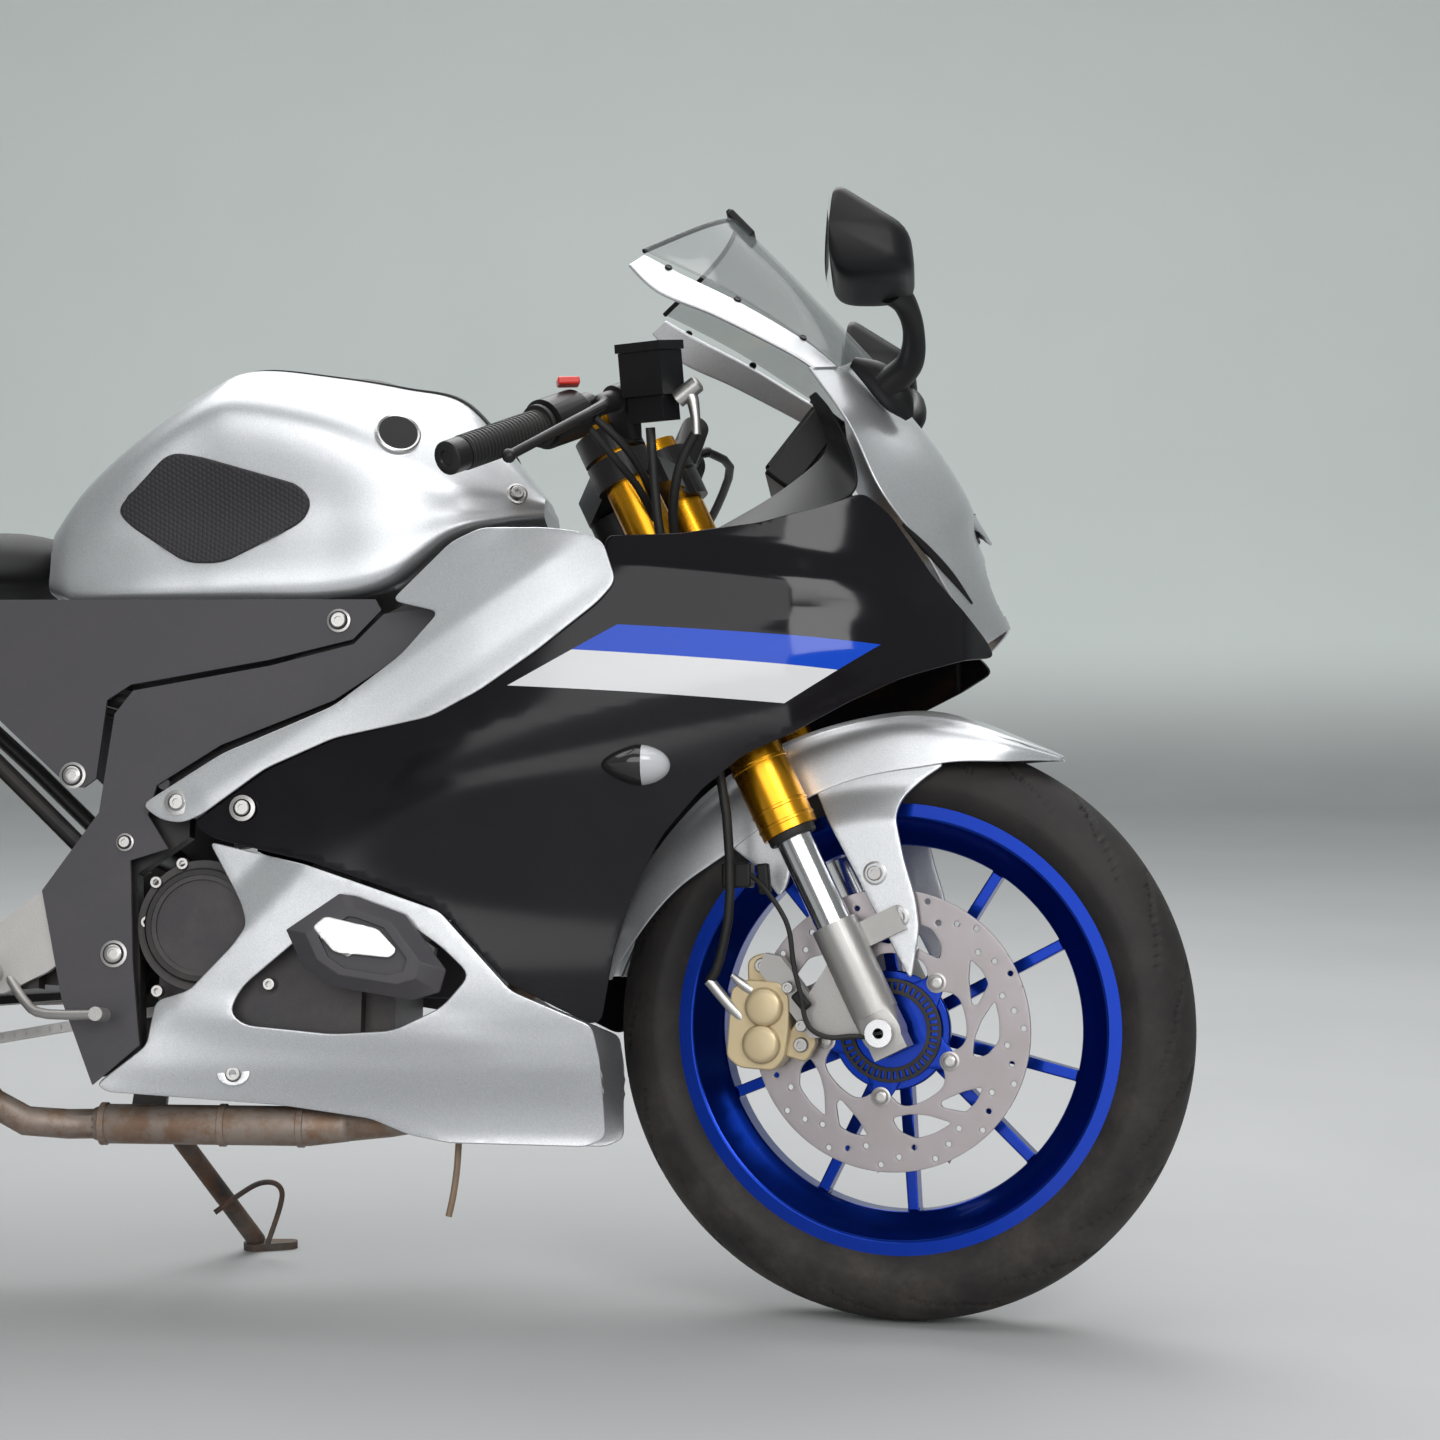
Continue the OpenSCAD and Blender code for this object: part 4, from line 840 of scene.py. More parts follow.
class Maker:
    """Keeps the loaded frame and turns meshes into pieces of the object."""

    def __init__(self, frame: dict) -> None:
        """Starts with no pieces."""
        self.frame = frame
        self.count = 0

    def at(self, place: Placer, body: Body) -> Bench:
        """Bench for pieces that lie in one space and ride on one body."""
        return Bench(self, place, body)

    def dress(self, mesh: bpy.types.Mesh, finish: Finish, body: Body, node: str,
              trim: Trim) -> bpy.types.Object:
        """Shades a mesh, adds its modifiers and rides it on its body.

        Args:
            mesh: Mesh in row space; the piece takes its name.
            finish: Finish of the piece.
            body: Rigid body that it rides on.
            node: CAD node that it stands for, or nothing.
            trim: Wall, bevel and shading.

        Returns:
            The new object.
        """
        work = bmesh.new()
        work.from_mesh(mesh)
        bmesh.ops.remove_doubles(work, verts=work.verts, dist=MERGE)
        if not trim.wall:
            bmesh.ops.recalc_face_normals(work, faces=work.faces)
        work.to_mesh(mesh)
        work.free()
        mesh.polygons.foreach_set("use_smooth", np.ones(len(mesh.polygons), bool))
        mesh.set_sharp_from_angle(angle=math.radians(trim.angle))
        mesh.materials.append(finish.material())
        obj = bpy.data.objects.new(mesh.name, mesh)
        bpy.context.scene.collection.objects.link(obj)
        self.add_modifiers(obj, trim)
        if node:
            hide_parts(node)
        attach(obj, body.value)
        self.count += 1
        LOG.info("%s on %s", obj.name, body.value)
        return obj

    @staticmethod
    def add_modifiers(obj: bpy.types.Object, trim: Trim) -> None:
        """Adds the wall and the rounded edges that a trim asks for."""
        if trim.wall:
            solid = obj.modifiers.new("wall", "SOLIDIFY")
            solid.thickness = trim.wall * MM
            solid.offset = -1.0
            if trim.lining:
                obj.data.materials.append(trim.lining.material())
                solid.material_offset = 1
        if trim.bevel:
            bevel = obj.modifiers.new("edges", "BEVEL")
            bevel.width = trim.bevel * MM
            bevel.segments = trim.segments
            bevel.limit_method = "ANGLE"
            bevel.angle_limit = math.radians(trim.angle)
            bevel.use_clamp_overlap = trim.wall == 0 and not trim.loose
            normal = obj.modifiers.new("normals", "WEIGHTED_NORMAL")
            normal.keep_sharp = True


@dataclass(frozen=True)
class Bench:
    """Makes pieces that lie in one space and ride on one body."""

    maker: Maker
    place: Placer
    body: Body

    def make(self, name: str, surface: Surface, finish: Finish, node: str = "",
             trim: Trim = SMOOTH) -> bpy.types.Object:
        """Makes a piece from a surface in millimetres.

        Args:
            name: Name of the piece.
            surface: Surface in the bench's space.
            finish: Finish of the piece.
            node: CAD node that it stands for, or nothing.
            trim: Wall, bevel and shading.

        Returns:
            The new object.
        """
        mesh = bpy.data.meshes.new(name)
        mesh.from_pydata(self.place(surface.verts).tolist(), [], surface.faces)
        mesh.validate()
        return self.maker.dress(mesh, finish, self.body, node, trim)

    def pair(self, name: str, surface: Surface, finish: Finish, node: str = "",
             trim: Trim = SMOOTH) -> bpy.types.Object:
        """Makes a piece from a right-hand surface and its left-hand copy; arguments as in make."""
        return self.make(name, surface.mirrored(), finish, node, trim)

    def refine(self, node: str, finish: Finish, bevel: float = 0.8, angle: float = 32.0,
               loose: bool = False) -> bpy.types.Object:
        """Merged copy of a CAD node with rounded edges, in place of the node.

        Args:
            node: CAD node to copy.
            finish: Finish of the copy.
            bevel: Width of the rounded edges in millimetres.
            angle: Edges sharper than this are rounded.
            loose: Whether the rounding keeps its width next to short edges.

        Returns:
            The new object.
        """
        mesh = self.maker.frame["nodes"][node].data.copy()
        mesh.materials.clear()
        mesh.name = node + "_dressed"
        return self.maker.dress(mesh, finish, self.body, node, Trim(0.0, bevel, angle, loose=loose))


# Sub-assemblies


RIGHT = (0, -1, 0)


def columns(*points: tuple) -> Array:
    """Rows of points in a plane, each point given as a pair of columns."""
    return np.stack([np.stack(point, 1) for point in points], 1)


@dataclass
class Tyre:
    """A tyre with slanted grooves cut into its tread.

    Each cut is a slant, a start and an end across the tread, and a phase.
    """

    radius: float
    width: float
    rim_width: float
    grooves: int
    bead: float = 217.0
    depth: float = 4.0
    wrap: float = 112.0
    wall_start: float = 0.78
    wall_span: float = 0.22
    bead_rise: float = 4.0
    toe_inset: float = 8.5
    groove_half: float = 3.2
    groove_end: float = 0.03
    line_at: float = 0.66
    line_half: float = 0.012
    line_rise: float = 0.7
    cuts: tuple = (
        (1.5, 0.06, 0.44, 0.0), (-1.5, -0.44, -0.06, 0.5), (3.0, 0.24, 0.56, 0.5),
        (-3.0, -0.56, -0.24, 0.0))

    def profile(self, count: int) -> Array:
        """Section from bead to bead: a round crown carried down to the flanges."""
        half = self.width / 2
        crown = self.radius - half
        a = np.linspace(-1, 1, count)
        bend = np.radians(self.wrap) * a
        y = half * np.sin(bend)
        r = crown + half * np.cos(bend)
        toe = (self.rim_width / 2 - self.toe_inset) * np.sign(a)
        fall = np.clip((np.abs(a) - self.wall_start) / self.wall_span, 0, 1) ** 1.3
        r = r * (1 - fall) + (self.bead + self.bead_rise) * fall
        y = y * (1 - fall) + toe * fall
        return np.stack([r, y], 1)

    def surface(self, count: int = 61, turns: int = 1056) -> Surface:
        """Tyre as a turned section whose tread is pushed in along the grooves.

        Args:
            count: Points across the section.
            turns: Sections round the axle.

        Returns:
            The open shell from bead to bead, with a thin raised line on each wall.
        """
        p = self.profile(count)
        s = np.linspace(-1, 1, count)[None, :]
        t = np.linspace(0, 2 * math.pi, turns, endpoint=False)[:, None]
        phase = t * self.grooves / (2 * math.pi)
        cut = np.zeros((turns, count))
        for lead, start, end, offset in self.cuts:
            turn = np.abs((phase + lead * s + offset + 0.5) % 1 - 0.5)
            d = turn * 2 * math.pi * self.radius / self.grooves
            ends = [np.clip(gap / self.groove_end, 0, 1) for gap in (s - start, end - s)]
            cut = np.maximum(cut, np.clip(1.4 - d / self.groove_half, 0, 1) * ends[0] * ends[1])
        line = np.exp(-(((np.abs(s) - self.line_at) / self.line_half) ** 2)) * self.line_rise
        r = p[None, :, 0] - self.depth * cut + line
        grid = np.stack([r * np.cos(t), np.broadcast_to(p[None, :, 1], r.shape), r * np.sin(t)], -1)
        return Surface().grid(grid, wrap_u=True)


@dataclass
class RollingParts:
    """Wheels, tyres, discs and what turns with them.

    The windows of the disc are points of radius and of degrees past an arm.
    """

    front: Tyre = field(default_factory=lambda: Tyre(PARK.front_tyre_r, PARK.front_tyre_w, 76.0, 18))
    rear: Tyre = field(default_factory=lambda: Tyre(PARK.rear_tyre_r, PARK.rear_tyre_w, 104.0, 16))
    disc_y: float = 66.5
    disc_t: float = 4.0
    disc_r: float = 141.0
    bolt_r: float = 67.0
    arms: int = 5
    first_arm: float = 20.0
    drillings: int = 15
    drill_r: float = 2.9
    drill_rows: tuple = (7, 15, 23)
    wide_window: tuple = ((87, 9), (100, 13), (110, 22), (110.5, 32), (110, 43), (92, 33), (85, 22))
    slim_window: tuple = ((86, 44), (92, 43), (110, 52), (110.5, 60), (108, 68), (95, 60))
    slot: tuple = ((41, 0), (41, 4.4), (48.5, 4.4), (48.5, 0))
    slot_step: float = 8.0

    def build(self, m: Maker) -> None:
        """Makes tyres, rims, discs and bolts."""
        front = m.at(PARK.front_axle, Body.FRONT_WHEEL)
        rear = m.at(PARK.rear, Body.REAR_WHEEL)
        front.make("front_tyre_tread", self.front.surface(), TYRE, "front_tyre", Trim(angle=50))
        rear.make("rear_tyre_tread", self.rear.surface(), TYRE, "rear_tyre", Trim(angle=50))
        front.refine("front_rim", BLUE, 1.6, 25.0, True)
        rear.refine("rear_rim", BLUE, 1.6, 25.0, True)
        rear.refine("rear_disc", DISC, 0.5)
        rear.refine("rear_sprocket", STEEL, 0.4)
        self.rotor(front)
        self.hub_details(front)

    def arm_angles(self) -> Array:
        """Angle of each arm in degrees."""
        return self.first_arm + np.arange(self.arms) * 360 / self.arms

    def lobed(self, base: float, rise: float, power: float, count: int) -> Array:
        """Outline of a base radius that changes by a rise where an arm stands."""
        t = np.linspace(0, 2 * math.pi, count, endpoint=False)
        lobe = np.abs(np.cos(self.arms / 2 * (t - math.radians(self.first_arm)))) ** power
        return (base + rise * lobe)[:, None] * np.stack([np.cos(t), np.sin(t)], 1)

    def rotor(self, front: Bench) -> None:
        """Drilled front disc with swept windows between its arms."""
        holes = [self.lobed(77, -20, 7, 240)]
        for a in self.arm_angles():
            for window, corner in ((self.wide_window, 5), (self.slim_window, 4)):
                holes.append(rounded(polar(np.add(window, (0, a))), corner, 4))
        for row, inset in enumerate(self.drill_rows):
            for k in range(self.drillings):
                a = (k + row / 3) * 360 / self.drillings
                holes.append(circle(self.drill_r, 14, polar([(self.disc_r - inset, a)])[0]))
        plate = flat(circle(self.disc_r, 180), holes, -self.disc_y - self.disc_t / 2, 4.0)
        front.make("front_rotor", plate, DISC, "front_disc", Trim(self.disc_t, 0.4, 40))

    def hub_details(self, front: Bench) -> None:
        """Star-shaped carrier, slotted speed ring and bolts inside the disc."""
        face = self.disc_y + self.disc_t / 2
        star = flat(self.lobed(49, 24, 5, 180), [circle(20, 32)], -face + 1.6, 5.0)
        front.make("disc_carrier", star, BLUE, trim=Trim(3.4, 0.8, 40))
        slots = [polar(np.add(self.slot, (0, a))) for a in np.arange(0, 360, self.slot_step)]
        ring = flat(circle(52, 120), [circle(37, 90), *slots], -face - 1.8, 5.0)
        front.make("speed_ring", ring, BLACK_METAL, trim=Trim(2.2, 0.3, 40))
        bolts = Surface()
        for a in self.arm_angles():
            x, z = polar([(self.bolt_r, a)])[0]
            bolts.turned((x, -face, z), RIGHT, [(10, 0), (10, 1.2), (8.2, 1.6)])
            bolts.bolt((x, -face - 1.2, z), RIGHT, 6.6, 2.8)
        front.make("disc_bolts", bolts, STEEL, trim=CRISP)


SKIN_Z = np.array([180, 300, 420, 540, 660, 780], float)
SKIN_X = np.array([-200, -50, 100, 250, 400, 550, 650, 720, 760], float)
SKIN_Y = np.array([
    [118, 124, 128, 135, 135, 135],
    [100, 130, 142, 150, 145, 140],
    [88, 135, 152, 168, 165, 150],
    [92, 138, 158, 186, 194, 186],
    [92, 138, 160, 194, 210, 204],
    [90, 130, 155, 184, 204, 196],
    [85, 120, 140, 160, 172, 160],
    [60, 90, 105, 118, 118, 96],
    [20, 40, 50, 56, 52, 40]], float)


def cubic_weights(t: Array, count: int) -> tuple[Array, Array]:
    """Four knot numbers and Catmull-Rom weights for each place t on a table of count knots."""
    i = np.clip(t.astype(int), 0, count - 2)
    f = t - i
    w = np.stack([-f + 2 * f**2 - f**3, 2 - 5 * f**2 + 3 * f**3, f + 4 * f**2 - 3 * f**3, f**3 - f**2], -1)
    return np.clip(i[:, None] + np.arange(-1, 3), 0, count - 1), 0.5 * w


def skin(x: Array, z: Array) -> Array:
    """Half width of the bodywork: the table of widths, smooth along x and along z."""
    ix, wx = cubic_weights(np.interp(x, SKIN_X, np.arange(len(SKIN_X))), len(SKIN_X))
    iz, wz = cubic_weights(np.interp(z, SKIN_Z, np.arange(len(SKIN_Z))), len(SKIN_Z))
    return np.einsum("nab,na,nb->n", SKIN_Y[ix[:, :, None], iz[:, None, :]], wx, wz)


def skin_at(x: float, z: float) -> float:
    """Half width of the bodywork at one point of the side view."""
    return float(skin(np.array([float(x)]), np.array([float(z)]))[0])


def ridge(x: Array, z: Array, start: Sequence[float], end: Sequence[float],
          width: float, height: float) -> Array:
    """Raised line of the side view.

    Args:
        x: Places along the bike.
        z: Heights of the places.
        start: First end of the line.
        end: Other end of the line.
        width: Distance from the line at which it has fallen away.
        height: Height of its crest.

    Returns:
        The rise at each place.
    """
    d = np.subtract(end, start)
    length = np.hypot(*d)
    u = d / length
    s = (x - start[0]) * u[0] + (z - start[1]) * u[1]
    off = np.abs((x - start[0]) * -u[1] + (z - start[1]) * u[0])
    run = np.clip(np.minimum(s, length - s) / 60 + 0.5, 0, 1)
    return height * np.clip(1 - off / width, 0, 1) * run


@dataclass
class Bodywork:
    """Fairings, belly pan and covers, as outlines of x and z in the side view.

    A bolt is x, z, distance from the centre plane and radius.
    """

    wall: Trim = Trim(3.0, 1.2, 40)
    shoulder: tuple = (
        (-103, 507), (-20, 558), (94, 604), (162, 654), (200, 697), (149, 711), (209, 769), (240, 782),
        (304, 780), (340, 775), (364, 765), (378, 724), (360, 703), (302, 657), (243, 617), (194, 592),
        (96, 572), (26, 542), (-38, 497), (-60, 488), (-83, 492))
    fairing: tuple = (
        (-50, 488), (22, 550), (96, 582), (190, 602), (262, 644), (322, 688), (364, 728), (366, 771),
        (440, 773), (518, 785), (577, 803), (620, 820), (646, 800), (690, 742), (744, 687), (752, 672),
        (715, 658), (661, 636), (608, 609), (549, 575), (505, 555), (462, 520), (423, 475), (395, 421),
        (376, 363), (364, 296), (352, 293), (268, 334), (217, 391), (197, 405), (147, 425), (67, 451),
        (-30, 474))
    belly: tuple = (
        (-34, 471), (62, 449), (143, 422), (203, 402), (275, 324), (355, 291), (362, 258), (366, 182),
        (347, 173), (209, 175), (169, 182), (129, 198), (39, 210), (-134, 221), (-144, 229), (-93, 268),
        (-85, 312), (-50, 322), (-6, 367), (8, 387), (2, 407))
    opening: tuple = (
        (-8, 302), (4, 326), (64, 376), (98, 412), (162, 396), (204, 368), (234, 340), (206, 308),
        (156, 284), (96, 280), (6, 288))
    plate: tuple = ((80, 384), (93, 395), (146, 383), (166, 362), (159, 354), (103, 359))
    plate_y: float = 174.6
    bolts: tuple = ((89, 697, 128, 8), (-178, 538, 128, 9), (-127, 358, 134, 9), (-120, 470, 134, 6))
    skin_bolts: tuple = ((3, 503), (-65, 509))
    washer: tuple = (-6, 241)
    covers: tuple = (
        ("side_covers", GREY, 2.5), ("frame_covers", GREY, 2.5), ("intake_ducts", GREY, 3.0),
        ("cowl_stay", BLACK_METAL, 1.4))

    def build(self, m: Maker) -> None:
        """Makes the panels, the covers and their fixings."""
        bench = m.at(PARK.bike, Body.CHASSIS)
        shoulder = self.panel(rounded(self.shoulder, 10), (), -0.2, 7.0, self.shoulder_fold)
        bench.pair("shoulder_skin", shoulder, SILVER, "shoulder_panels", self.wall)
        fairing = self.panel(rounded(self.fairing, 9), (), 4.1, 9.0, self.fairing_fold)
        lined = replace(self.wall, lining=PLAIN_BLACK)
        bench.pair("fairing_skin", fairing, BLACK_GLOSS, "side_fairings", lined)
        belly = self.panel(rounded(self.belly, 8), (rounded(self.opening, 12),), -1.0, 8.0, self.belly_fold)
        bench.pair("belly_skin", belly, SILVER, "belly_pan", self.wall)
        for node, finish, bevel in self.covers:
            bench.refine(node, finish, bevel)
        self.fixings(bench)

    @staticmethod
    def panel(outline: Array, holes: Sequence[Array], inset: float, step: float,
              fold: Callable[[Array, Array], Array]) -> Surface:
        """Right-hand panel of the skin, trimmed to an outline in the side view.

        Args:
            outline: Closed outline of x and z.
            holes: Outlines cut out of it.
            inset: Depth of the face under the skin.
            step: Size of the triangles.
            fold: Extra height of the face at x and z, for ridges.

        Returns:
            Surface with its face outwards.
        """
        pts, tris = trimmed(outline, holes, step)
        y = skin(pts[:, 0], pts[:, 1]) - inset + fold(pts[:, 0], pts[:, 1])
        return facing_right(np.stack([pts[:, 0], -y, pts[:, 1]], 1), tris)

    def fixings(self, bench: Bench) -> None:
        """Bolts, the oval washer on the belly pan and the bare plates on the scoops."""
        heads = Surface()
        for x, z, y, r in self.bolts:
            heads.turned((x, -y, z), RIGHT, [(r * 1.5, 0), (r * 1.5, 1.6), (r * 1.2, 2.2)])
            heads.bolt((x, -y - 1.6, z), RIGHT, r, 4.0)
        for x, z in self.skin_bolts:
            y = skin_at(x, z)
            heads.turned((x, -y - 1, z), RIGHT, [(13, 0), (13, 1.6), (9, 2.4)])
            heads.bolt((x, -y - 2.5, z), RIGHT, 7.5, 3.5)
        bench.pair("panel_bolts", heads, STEEL, trim=CRISP)
        x, z = self.washer
        y = skin_at(x, z) + 4.6
        oval = circle(1.0, 48) * [17, 12.5] + self.washer
        washer = flat(oval, [circle(8, 24, self.washer)], -y, 4.0)
        bench.pair("belly_washers", washer, SILVER, trim=Trim(4.0, 1.0, 40))
        bench.pair("belly_bolts", Surface().bolt((x, -y + 3, z), RIGHT, 7.6, 4.5), STEEL, trim=CRISP)
        plate = flat(rounded(self.plate, 5), (), -self.plate_y, 5.0)
        bench.pair("scoop_plates", plate, BADGE, trim=Trim(3.6, 1.0, 40))

    @staticmethod
    def shoulder_fold(x: Array, z: Array) -> Array:
        """Crest along the middle of the shoulder."""
        return ridge(x, z, (-60, 497), (330, 760), 46, 4.0)

    @staticmethod
    def fairing_fold(x: Array, z: Array) -> Array:
        """Upper ridge from the shoulder to the nose, and the crease above the stripes."""
        return ridge(x, z, (372, 742), (690, 715), 34, 5.0) + ridge(x, z, (150, 560), (640, 668), 40, 3.5)

    @staticmethod
    def belly_fold(x: Array, z: Array) -> Array:
        """Creases along the foot of the belly pan and under its opening, and a facet at the rear."""
        v = np.array([-93.0, -94.0])
        cross = v[0] * (z - 318) - v[1] * (x + 57)
        facet = np.clip(-cross / np.hypot(*v), 0, 40)
        foot = ridge(x, z, (-120, 245), (360, 250), 36, 3.5)
        return foot + ridge(x, z, (-40, 296), (250, 276), 26, 3.0) - 0.30 * facet


@dataclass
class Nose:
    """Nose cowl, screen, lamps and mirrors, as rows of points from the centre plane to the left edge."""

    rows: tuple = (
        ((766, 0, 710), (762, 18, 705), (753, 34, 697), (742, 46, 688)),
        ((745, 0, 768), (738, 45, 758), (723, 80, 742), (705, 104, 726)),
        ((730, 0, 806), (724, 52, 800), (706, 96, 782), (682, 126, 762)),
        ((725, 0, 838), (717, 55, 832), (692, 106, 812), (662, 144, 788)),
        ((695, 0, 889), (687, 60, 884), (662, 118, 860), (632, 162, 828)),
        ((653, 0, 944), (645, 62, 936), (622, 124, 908), (602, 160, 892)),
        ((618, 0, 992), (610, 60, 982), (588, 118, 958), (562, 154, 950)))
    beak: tuple = (
        ((723, 0, 846), (719, 20, 843), (712, 42, 836)),
        ((737, 0, 822), (731, 18, 822), (720, 36, 824)),
        ((750, 0, 800), (746, 6, 803), (738, 13, 808)))
    throat: tuple = (
        ((736, 0, 802), (733, 20, 801), (728, 38, 800)),
        ((729, 0, 822), (727, 18, 820), (722, 34, 818)),
        ((731, 0, 832), (727, 17, 830), (720, 32, 829)))
    rail: tuple = (
        ((590, 120, 957), (568, 152, 948)),
        ((554, 137, 983), (540, 152, 966)),
        ((489, 134, 1023), (468, 148, 1004)),
        ((430, 129, 1054), (409, 141, 1031)),
        ((393, 126, 1075), (377, 133, 1062)))
    screen: tuple = (
        ((628.6, 0, 987), (620, 61, 977), (597, 121, 953.5)),
        ((574, 0, 1045), (566, 66, 1033), (544, 134, 993)),
        ((530, 0, 1092), (518, 68, 1078), (470, 131, 1041)),
        ((478, 0, 1146), (455, 66, 1126), (392, 124, 1081)))
    cheek: tuple = (
        ((470, 150, 786), (476, 194.6, 769)),
        ((524, 134, 822), (524, 191, 782)),
        ((566, 126, 856), (580, 180.3, 803)),
        ((580, 122, 876), (611, 166, 826)),
        ((576, 122, 896), (602, 153, 872)),
        ((568, 124, 914), (584, 146, 908)),
        ((562, 126, 928), (568, 136, 930)))
    slit: tuple = ((658, -149, 792), (682, -129, 770), (706, -107, 747), (728, -80, 724))
    slit_r: tuple = (1.5, 4.5, 4.5, 1.0)
    lamp_z: float = 752.0
    lamp_r: float = 33.0
    indicator_at: tuple = (399, 544)
    indicator_size: tuple = (34, 20, 25)
    rivets: tuple = ((418, -131, 1061), (489, -135, 1026), (556, -138, 985))
    rivet_axis: tuple = (0.35, -0.62, 0.70)
    screen_lean: float = math.radians(46)
    mirror: tuple = ((592, 1099), (666, 1052), (671, 1006), (640, 1000), (600, 1001), (587, 1016))
    mirror_hub: tuple = (588, 1050)
    mirror_y: float = 249.0
    mirror_half: float = 77.0
    glass_at: tuple = (585.5, 249, 1052)
    glass_size: tuple = (0.06 * 38, 66, 38)
    mirror_arm: tuple = (
        (640, 112, 942), (664, 128, 962), (668, 160, 986), (660, 196, 1004), (646, 222, 1012))
    mirror_foot: tuple = ((606, 108, 968), (632, 108, 952), (652, 104, 930), (664, 98, 912))

    @staticmethod
    def whole(rows: Sequence, nu: int, nv: int) -> Surface:
        """Smooth surface through rows taken from the right edge over the middle to the left edge."""
        p = np.asarray(rows, float)
        return Surface().grid(patch(np.concatenate([p[:, :0:-1] * [1, -1, 1], p], axis=1), nu, nv))

    def build(self, m: Maker) -> None:
        """Makes the nose, the rails, the screen and what is behind them."""
        bench = m.at(PARK.bike, Body.CHASSIS)
        bench.make("nose_skin", self.clear_of_lamp(self.whole(self.rows, 60, 70)), SILVER, "nose_cowl", PANEL)
        bench.make("nose_beak", self.whole(self.beak, 16, 24), SILVER, trim=PANEL)
        bench.make("nose_throat", self.whole(self.throat, 8, 16), BLACK, trim=Trim(1.5))
        bench.pair("screen_rails", Surface().grid(patch(self.rail, 60, 8)), SILVER, trim=Trim(4.0, 1.6, 40))
        bench.make("screen_sheet", self.whole(self.screen, 40, 50), SCREEN, "windscreen", Trim(3.0, 0.8, 40))
        bench.pair("inner_cheeks", Surface().grid(patch(self.cheek, 60, 14)), BLACK, "inner_cowl", PANEL)
        bench.pair("running_lights", Surface().pipe(self.slit, self.slit_r, 30, 12), BLACK)
        bench.refine("headlamp", LENS, 1.0)
        bench.refine("instrument", BLACK, 5.0)
        bench.pair("indicator_lenses", self.indicator(), INDICATOR, "front_indicators")
        self.screen_fixings(bench)
        self.mirrors(bench)

    def indicator(self) -> Surface:
        """Half an ellipsoid on the fairing, drawn out to a point at its rear end."""
        t = np.linspace(0, 2 * math.pi, 48, endpoint=False)[None, :]
        r = np.sin(np.linspace(0.02, 1, 16) * math.pi / 2)[:, None]
        length, height, depth = self.indicator_size
        x = self.indicator_at[0] + length * r * np.cos(t)
        z = self.indicator_at[1] + height * r * np.sin(t) * (1 - 0.35 * np.clip(-np.cos(t), 0, 1))
        rise = depth * np.sqrt(np.clip(1 - r**2, 0, 1)) * np.ones_like(t)
        y = skin(x.ravel(), z.ravel()).reshape(x.shape) - 5 + rise
        return Surface().grid(np.stack([x, -y, z], -1), wrap_v=True, caps=True)

    def screen_fixings(self, bench: Bench) -> None:
        """Rivets along the screen's edge, the clip on its top and its dark rim."""
        rivets = Surface()
        for place in self.rivets:
            rivets.bolt(place, self.rivet_axis, 4.0, 2.4, False)
        bench.pair("screen_rivets", rivets, BLACK, trim=CRISP)
        clip = Surface().box((484, 0, 1141), (36, 46, 9), self.screen_lean)
        clip.box((474, 0, 1153), (14, 30, 6), self.screen_lean)
        bench.make("screen_clip", clip, BLACK, trim=Trim(0.0, 2.0))
        edge = np.asarray(self.screen[-1], float)
        rim = along(np.concatenate([edge[:0:-1] * [1, -1, 1], edge]), 50)
        bench.make("screen_rim", Surface().pipe(rim, 2.6, 50, 10, (1, 0, 0.4)), BLACK)

    def mirrors(self, bench: Bench) -> None:
        """Mirror housings with rounded ends, their glass, brackets and bolts."""
        loop = dense(rounded(self.mirror, 16, 6), 5.0)
        u = np.linspace(-1, 1, 28)
        scale = (1 - np.abs(u) ** 6) ** 0.34 * 0.98 + 0.02
        hub = np.asarray(self.mirror_hub, float)
        face = hub + scale[:, None, None] * (loop - hub)[None]
        y = np.broadcast_to((self.mirror_y + self.mirror_half * u)[:, None], face.shape[:2])
        rings = np.stack([face[..., 0], y, face[..., 1]], -1)
        housing = Surface().grid(rings, wrap_v=True, caps=True)
        bench.pair("mirror_housings", housing, BLACK, "mirrors", Trim(angle=50))
        wave = circle(1.0, 48)
        wave = np.sign(wave) * np.abs(wave) ** 0.6
        glass = self.glass_at + wave[:, [1, 0, 1]] * self.glass_size
        middle = glass.mean(0)
        plate = middle + np.linspace(0.02, 1, 6)[:, None, None] * (glass - middle)
        bench.pair("mirror_glass", Surface().grid(plate, wrap_v=True), MIRROR)
        bracket = Surface().pipe(self.mirror_arm, (17, 14, 11, 12, 15), 36, 18, (1, 0.2, -0.4))
        bench.pair("mirror_brackets", bracket.pipe(self.mirror_foot, (6, 16, 16, 5), 24, 16), BLACK)
        bolt = Surface().bolt((655, -121, 947), (0.2, -0.95, 0.2), 8.5, 4.0)
        bench.pair("mirror_bolts", bolt, BRONZE, trim=CRISP)

    def clear_of_lamp(self, cowl: Surface) -> Surface:
        """Nose without the faces over the lamp's opening."""
        mid = np.array([cowl.verts[f].mean(0) for f in cowl.faces])
        away = np.hypot(mid[:, 1], (mid[:, 2] - self.lamp_z) * 1.02) > self.lamp_r
        return Surface(cowl.verts, [f for f, k in zip(cowl.faces, away) if k])


